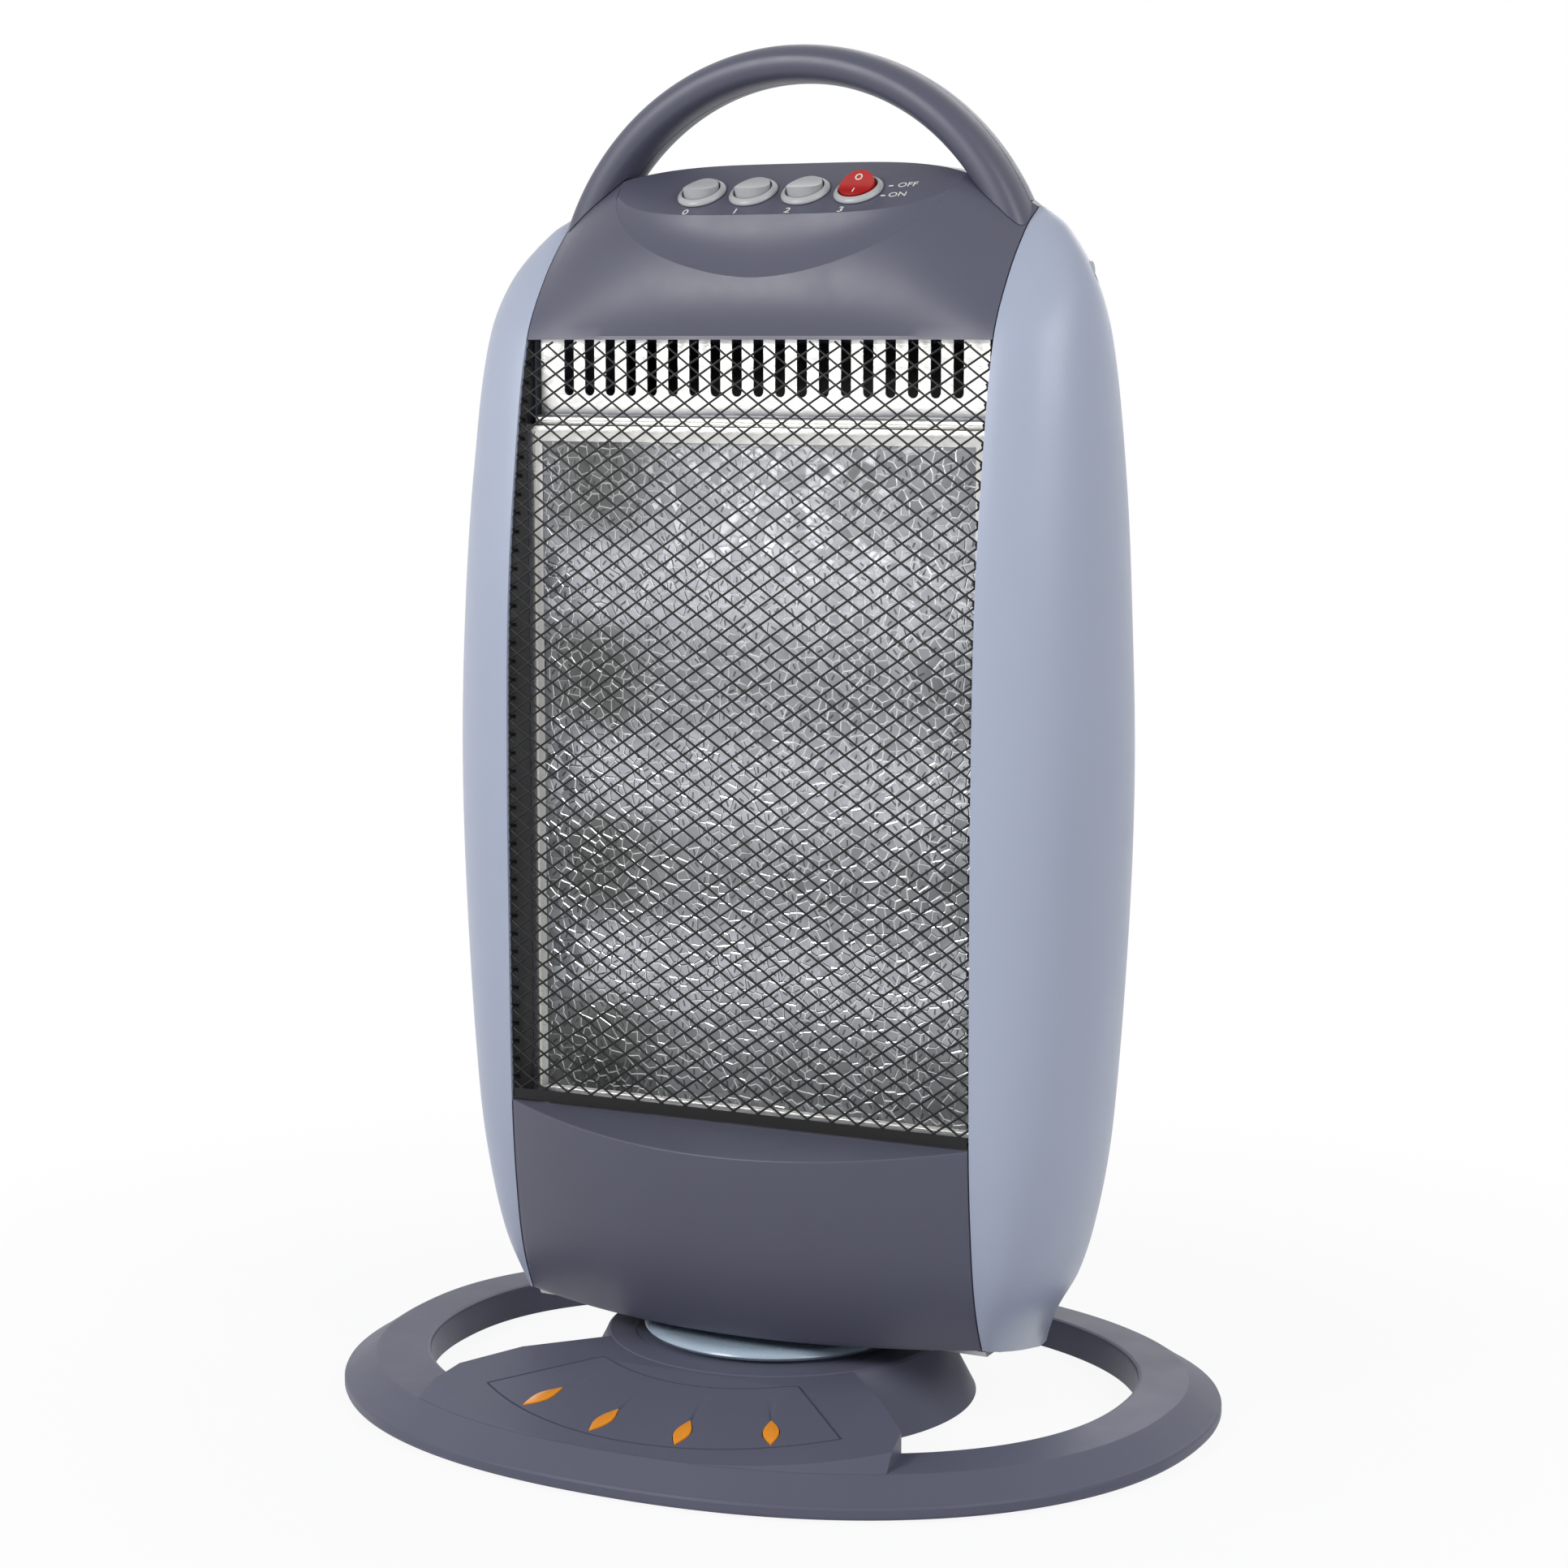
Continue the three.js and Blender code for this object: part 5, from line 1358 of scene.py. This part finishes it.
class HEATER_OT_elements(bpy.types.Operator):
    """Reflector, and three tubes with their filaments"""

    bl_idname = "heater.elements"
    bl_label = "Heating elements"

    def execute(self, context):
        radius = sizes.window.tube_radius
        piece("trough_sheet", reflector_mesh(), "reflector_sheet", ["reflector"], crease=40)
        for number in range(3):
            z = tube_z(number)
            rings = [(x, circle(radius * share, 32, TUBE_Y, z)) for x, share in TUBE_ENDS]
            tube = rings_mesh([[(x, *point) for point in ring] for x, ring in rings])
            piece(f"quartz_tube_{number + 1}", tube, "tube_glass", [f"halogen_tube_{number + 1}"], crease=60)
            piece(f"filament_{number + 1}", filament_mesh(z), "steel", crease=80)
        return {"FINISHED"}


# --- carried-over nodes


class HEATER_OT_inner(bpy.types.Operator):
    """Finishes of the CAD nodes that keep their shape"""

    bl_idname = "heater.inner"
    bl_label = "Inner pieces"

    def execute(self, context):
        slots = {row["node"]: row["material_slot"] for row in frame["record"]["subparts"]}
        for name, node in frame["nodes"].items():
            if not node.material_slots:
                raise RuntimeError(f"{name} has no material slot")
            for holder in node.material_slots:
                holder.material = material(slots[name])
        return {"FINISHED"}


# --- stage

CAMERA_TURN, CAMERA_RISE = radians(26.10), radians(7.61)
CAMERA_DISTANCE = 1.287
CAMERA_AIM = (0.0012, 0.2411)  # to the right of the middle line, and up
FOCAL_PIXELS, FRAME_PIXELS = 4087, 1932
LAMPS = [  # name, place, power, size
    ("key", (-0.58, -1.18, 0.90), 11.3, 0.5),
    ("side", (1.24, -0.45, 1.05), 9.0, 0.8),
    ("fill", (-1.2, -0.5, 0.7), 1.0, 0.8),
    ("rear", (-0.2, 1.3, 0.9), 3.2, 0.9),
]


class HEATER_OT_stage(bpy.types.Operator):
    """Floor, backdrop light, lamps and the camera"""

    bl_idname = "heater.stage"
    bl_label = "Stage"

    def execute(self, context):
        scene = context.scene
        scene.view_settings.view_transform = "Standard"
        corners = [(x, y, -0.0002) for x, y in ((-4, -4), (4, -4), (4, 4), (-4, 4))]
        floor = placed("floor", mesh_from(corners, [(0, 1, 2, 3)]))
        paper = Finish("floor_paper", 0.8)
        speck = paper.noise(30.0, 3.0)
        paper.feed(Base_Color=paper.mix(speck.ramp(0.3, 0.7), paper.shade(0.99), paper.base))
        across, along, _ = paper.axes()
        far = (across * across + along * along).math("SQRT").ramp(0.22, 0.55)
        share = paper.plain_rays() * (far * 0.08 + 0.92)
        shine = paper.node("ShaderNodeEmission", {}, {"Color": (1, 1, 1, 1), "Strength": 1.0})
        shaders = {0: share, 1: Value(paper, paper.shader.outputs[0]), 2: shine}
        paper.plug(paper.end.inputs[0], paper.node("ShaderNodeMixShader", {}, shaders))
        floor.data.materials.append(paper.material)

        scene.world = bpy.data.worlds.new("studio")
        scene.world.use_nodes = True
        sky = Nodes(scene.world.node_tree)
        lit = sky.node("ShaderNodeBackground", {}, {"Color": (0.93, 0.95, 1.0, 1), "Strength": 0.25})
        seen = sky.node("ShaderNodeBackground", {}, {"Color": (1, 1, 1, 1), "Strength": 1.0})
        shaders = {0: sky.plain_rays(), 1: lit, 2: seen}
        sky.node("ShaderNodeOutputWorld", {}, {0: sky.node("ShaderNodeMixShader", {}, shaders)})

        for name, spot, power, size in LAMPS:
            lamp = placed(name, bpy.data.lights.new(name, "AREA"))
            lamp.data.energy, lamp.data.size, lamp.data.shape = power, size, "SQUARE"
            lamp.location = spot
            aim = Vector((0, 0, 0.27)) - Vector(spot)
            lamp.rotation_euler = aim.to_track_quat("-Z", "Y").to_euler()

        level = Vector((sin(CAMERA_TURN), -cos(CAMERA_TURN), 0))
        back = level * cos(CAMERA_RISE) + Vector((0, 0, sin(CAMERA_RISE)))
        right = Vector((cos(CAMERA_TURN), sin(CAMERA_TURN), 0))
        camera = placed("camera", bpy.data.cameras.new("camera"))
        camera.data.sensor_width = 36
        camera.data.lens = 36 * FOCAL_PIXELS / FRAME_PIXELS
        spot = right * CAMERA_AIM[0] + Vector((0, 0, CAMERA_AIM[1])) + back * CAMERA_DISTANCE
        spot += drawing_shift()
        facing = Matrix((right, back.cross(right), back)).transposed().to_4x4()
        camera.matrix_world = Matrix.Translation(spot) @ facing
        scene.camera = camera
        return {"FINISHED"}


# --- panel and registration

OPERATORS = (
    HEATER_OT_finishes,
    HEATER_OT_stage,
    HEATER_OT_inner,
    HEATER_OT_base,
    HEATER_OT_shell,
    HEATER_OT_covers,
    HEATER_OT_handle,
    HEATER_OT_switches,
    HEATER_OT_window,
    HEATER_OT_elements,
)


class HEATER_PT_panel(bpy.types.Panel):
    """Lists the heater's pieces"""

    bl_idname = "HEATER_PT_panel"
    bl_label = "Halogen heater"
    bl_space_type = "VIEW_3D"
    bl_region_type = "UI"
    bl_category = "Heater"

    def draw(self, context):
        for operator in OPERATORS:
            self.layout.operator(operator.bl_idname)


CLASSES = (*GROUPS.values(), *OPERATORS, HEATER_PT_panel)


def register():
    for kind in CLASSES:
        bpy.utils.register_class(kind)
    for name, group in GROUPS.items():
        setattr(bpy.types.Scene, name, PointerProperty(type=group))


def unregister():
    for name in GROUPS:
        delattr(bpy.types.Scene, name)
    for kind in reversed(CLASSES):
        bpy.utils.unregister_class(kind)


def main():
    register()
    for operator in OPERATORS:
        name = operator.bl_idname.split(".")[1]
        getattr(bpy.ops.heater, name)()


if __name__ == "__main__":
    main()
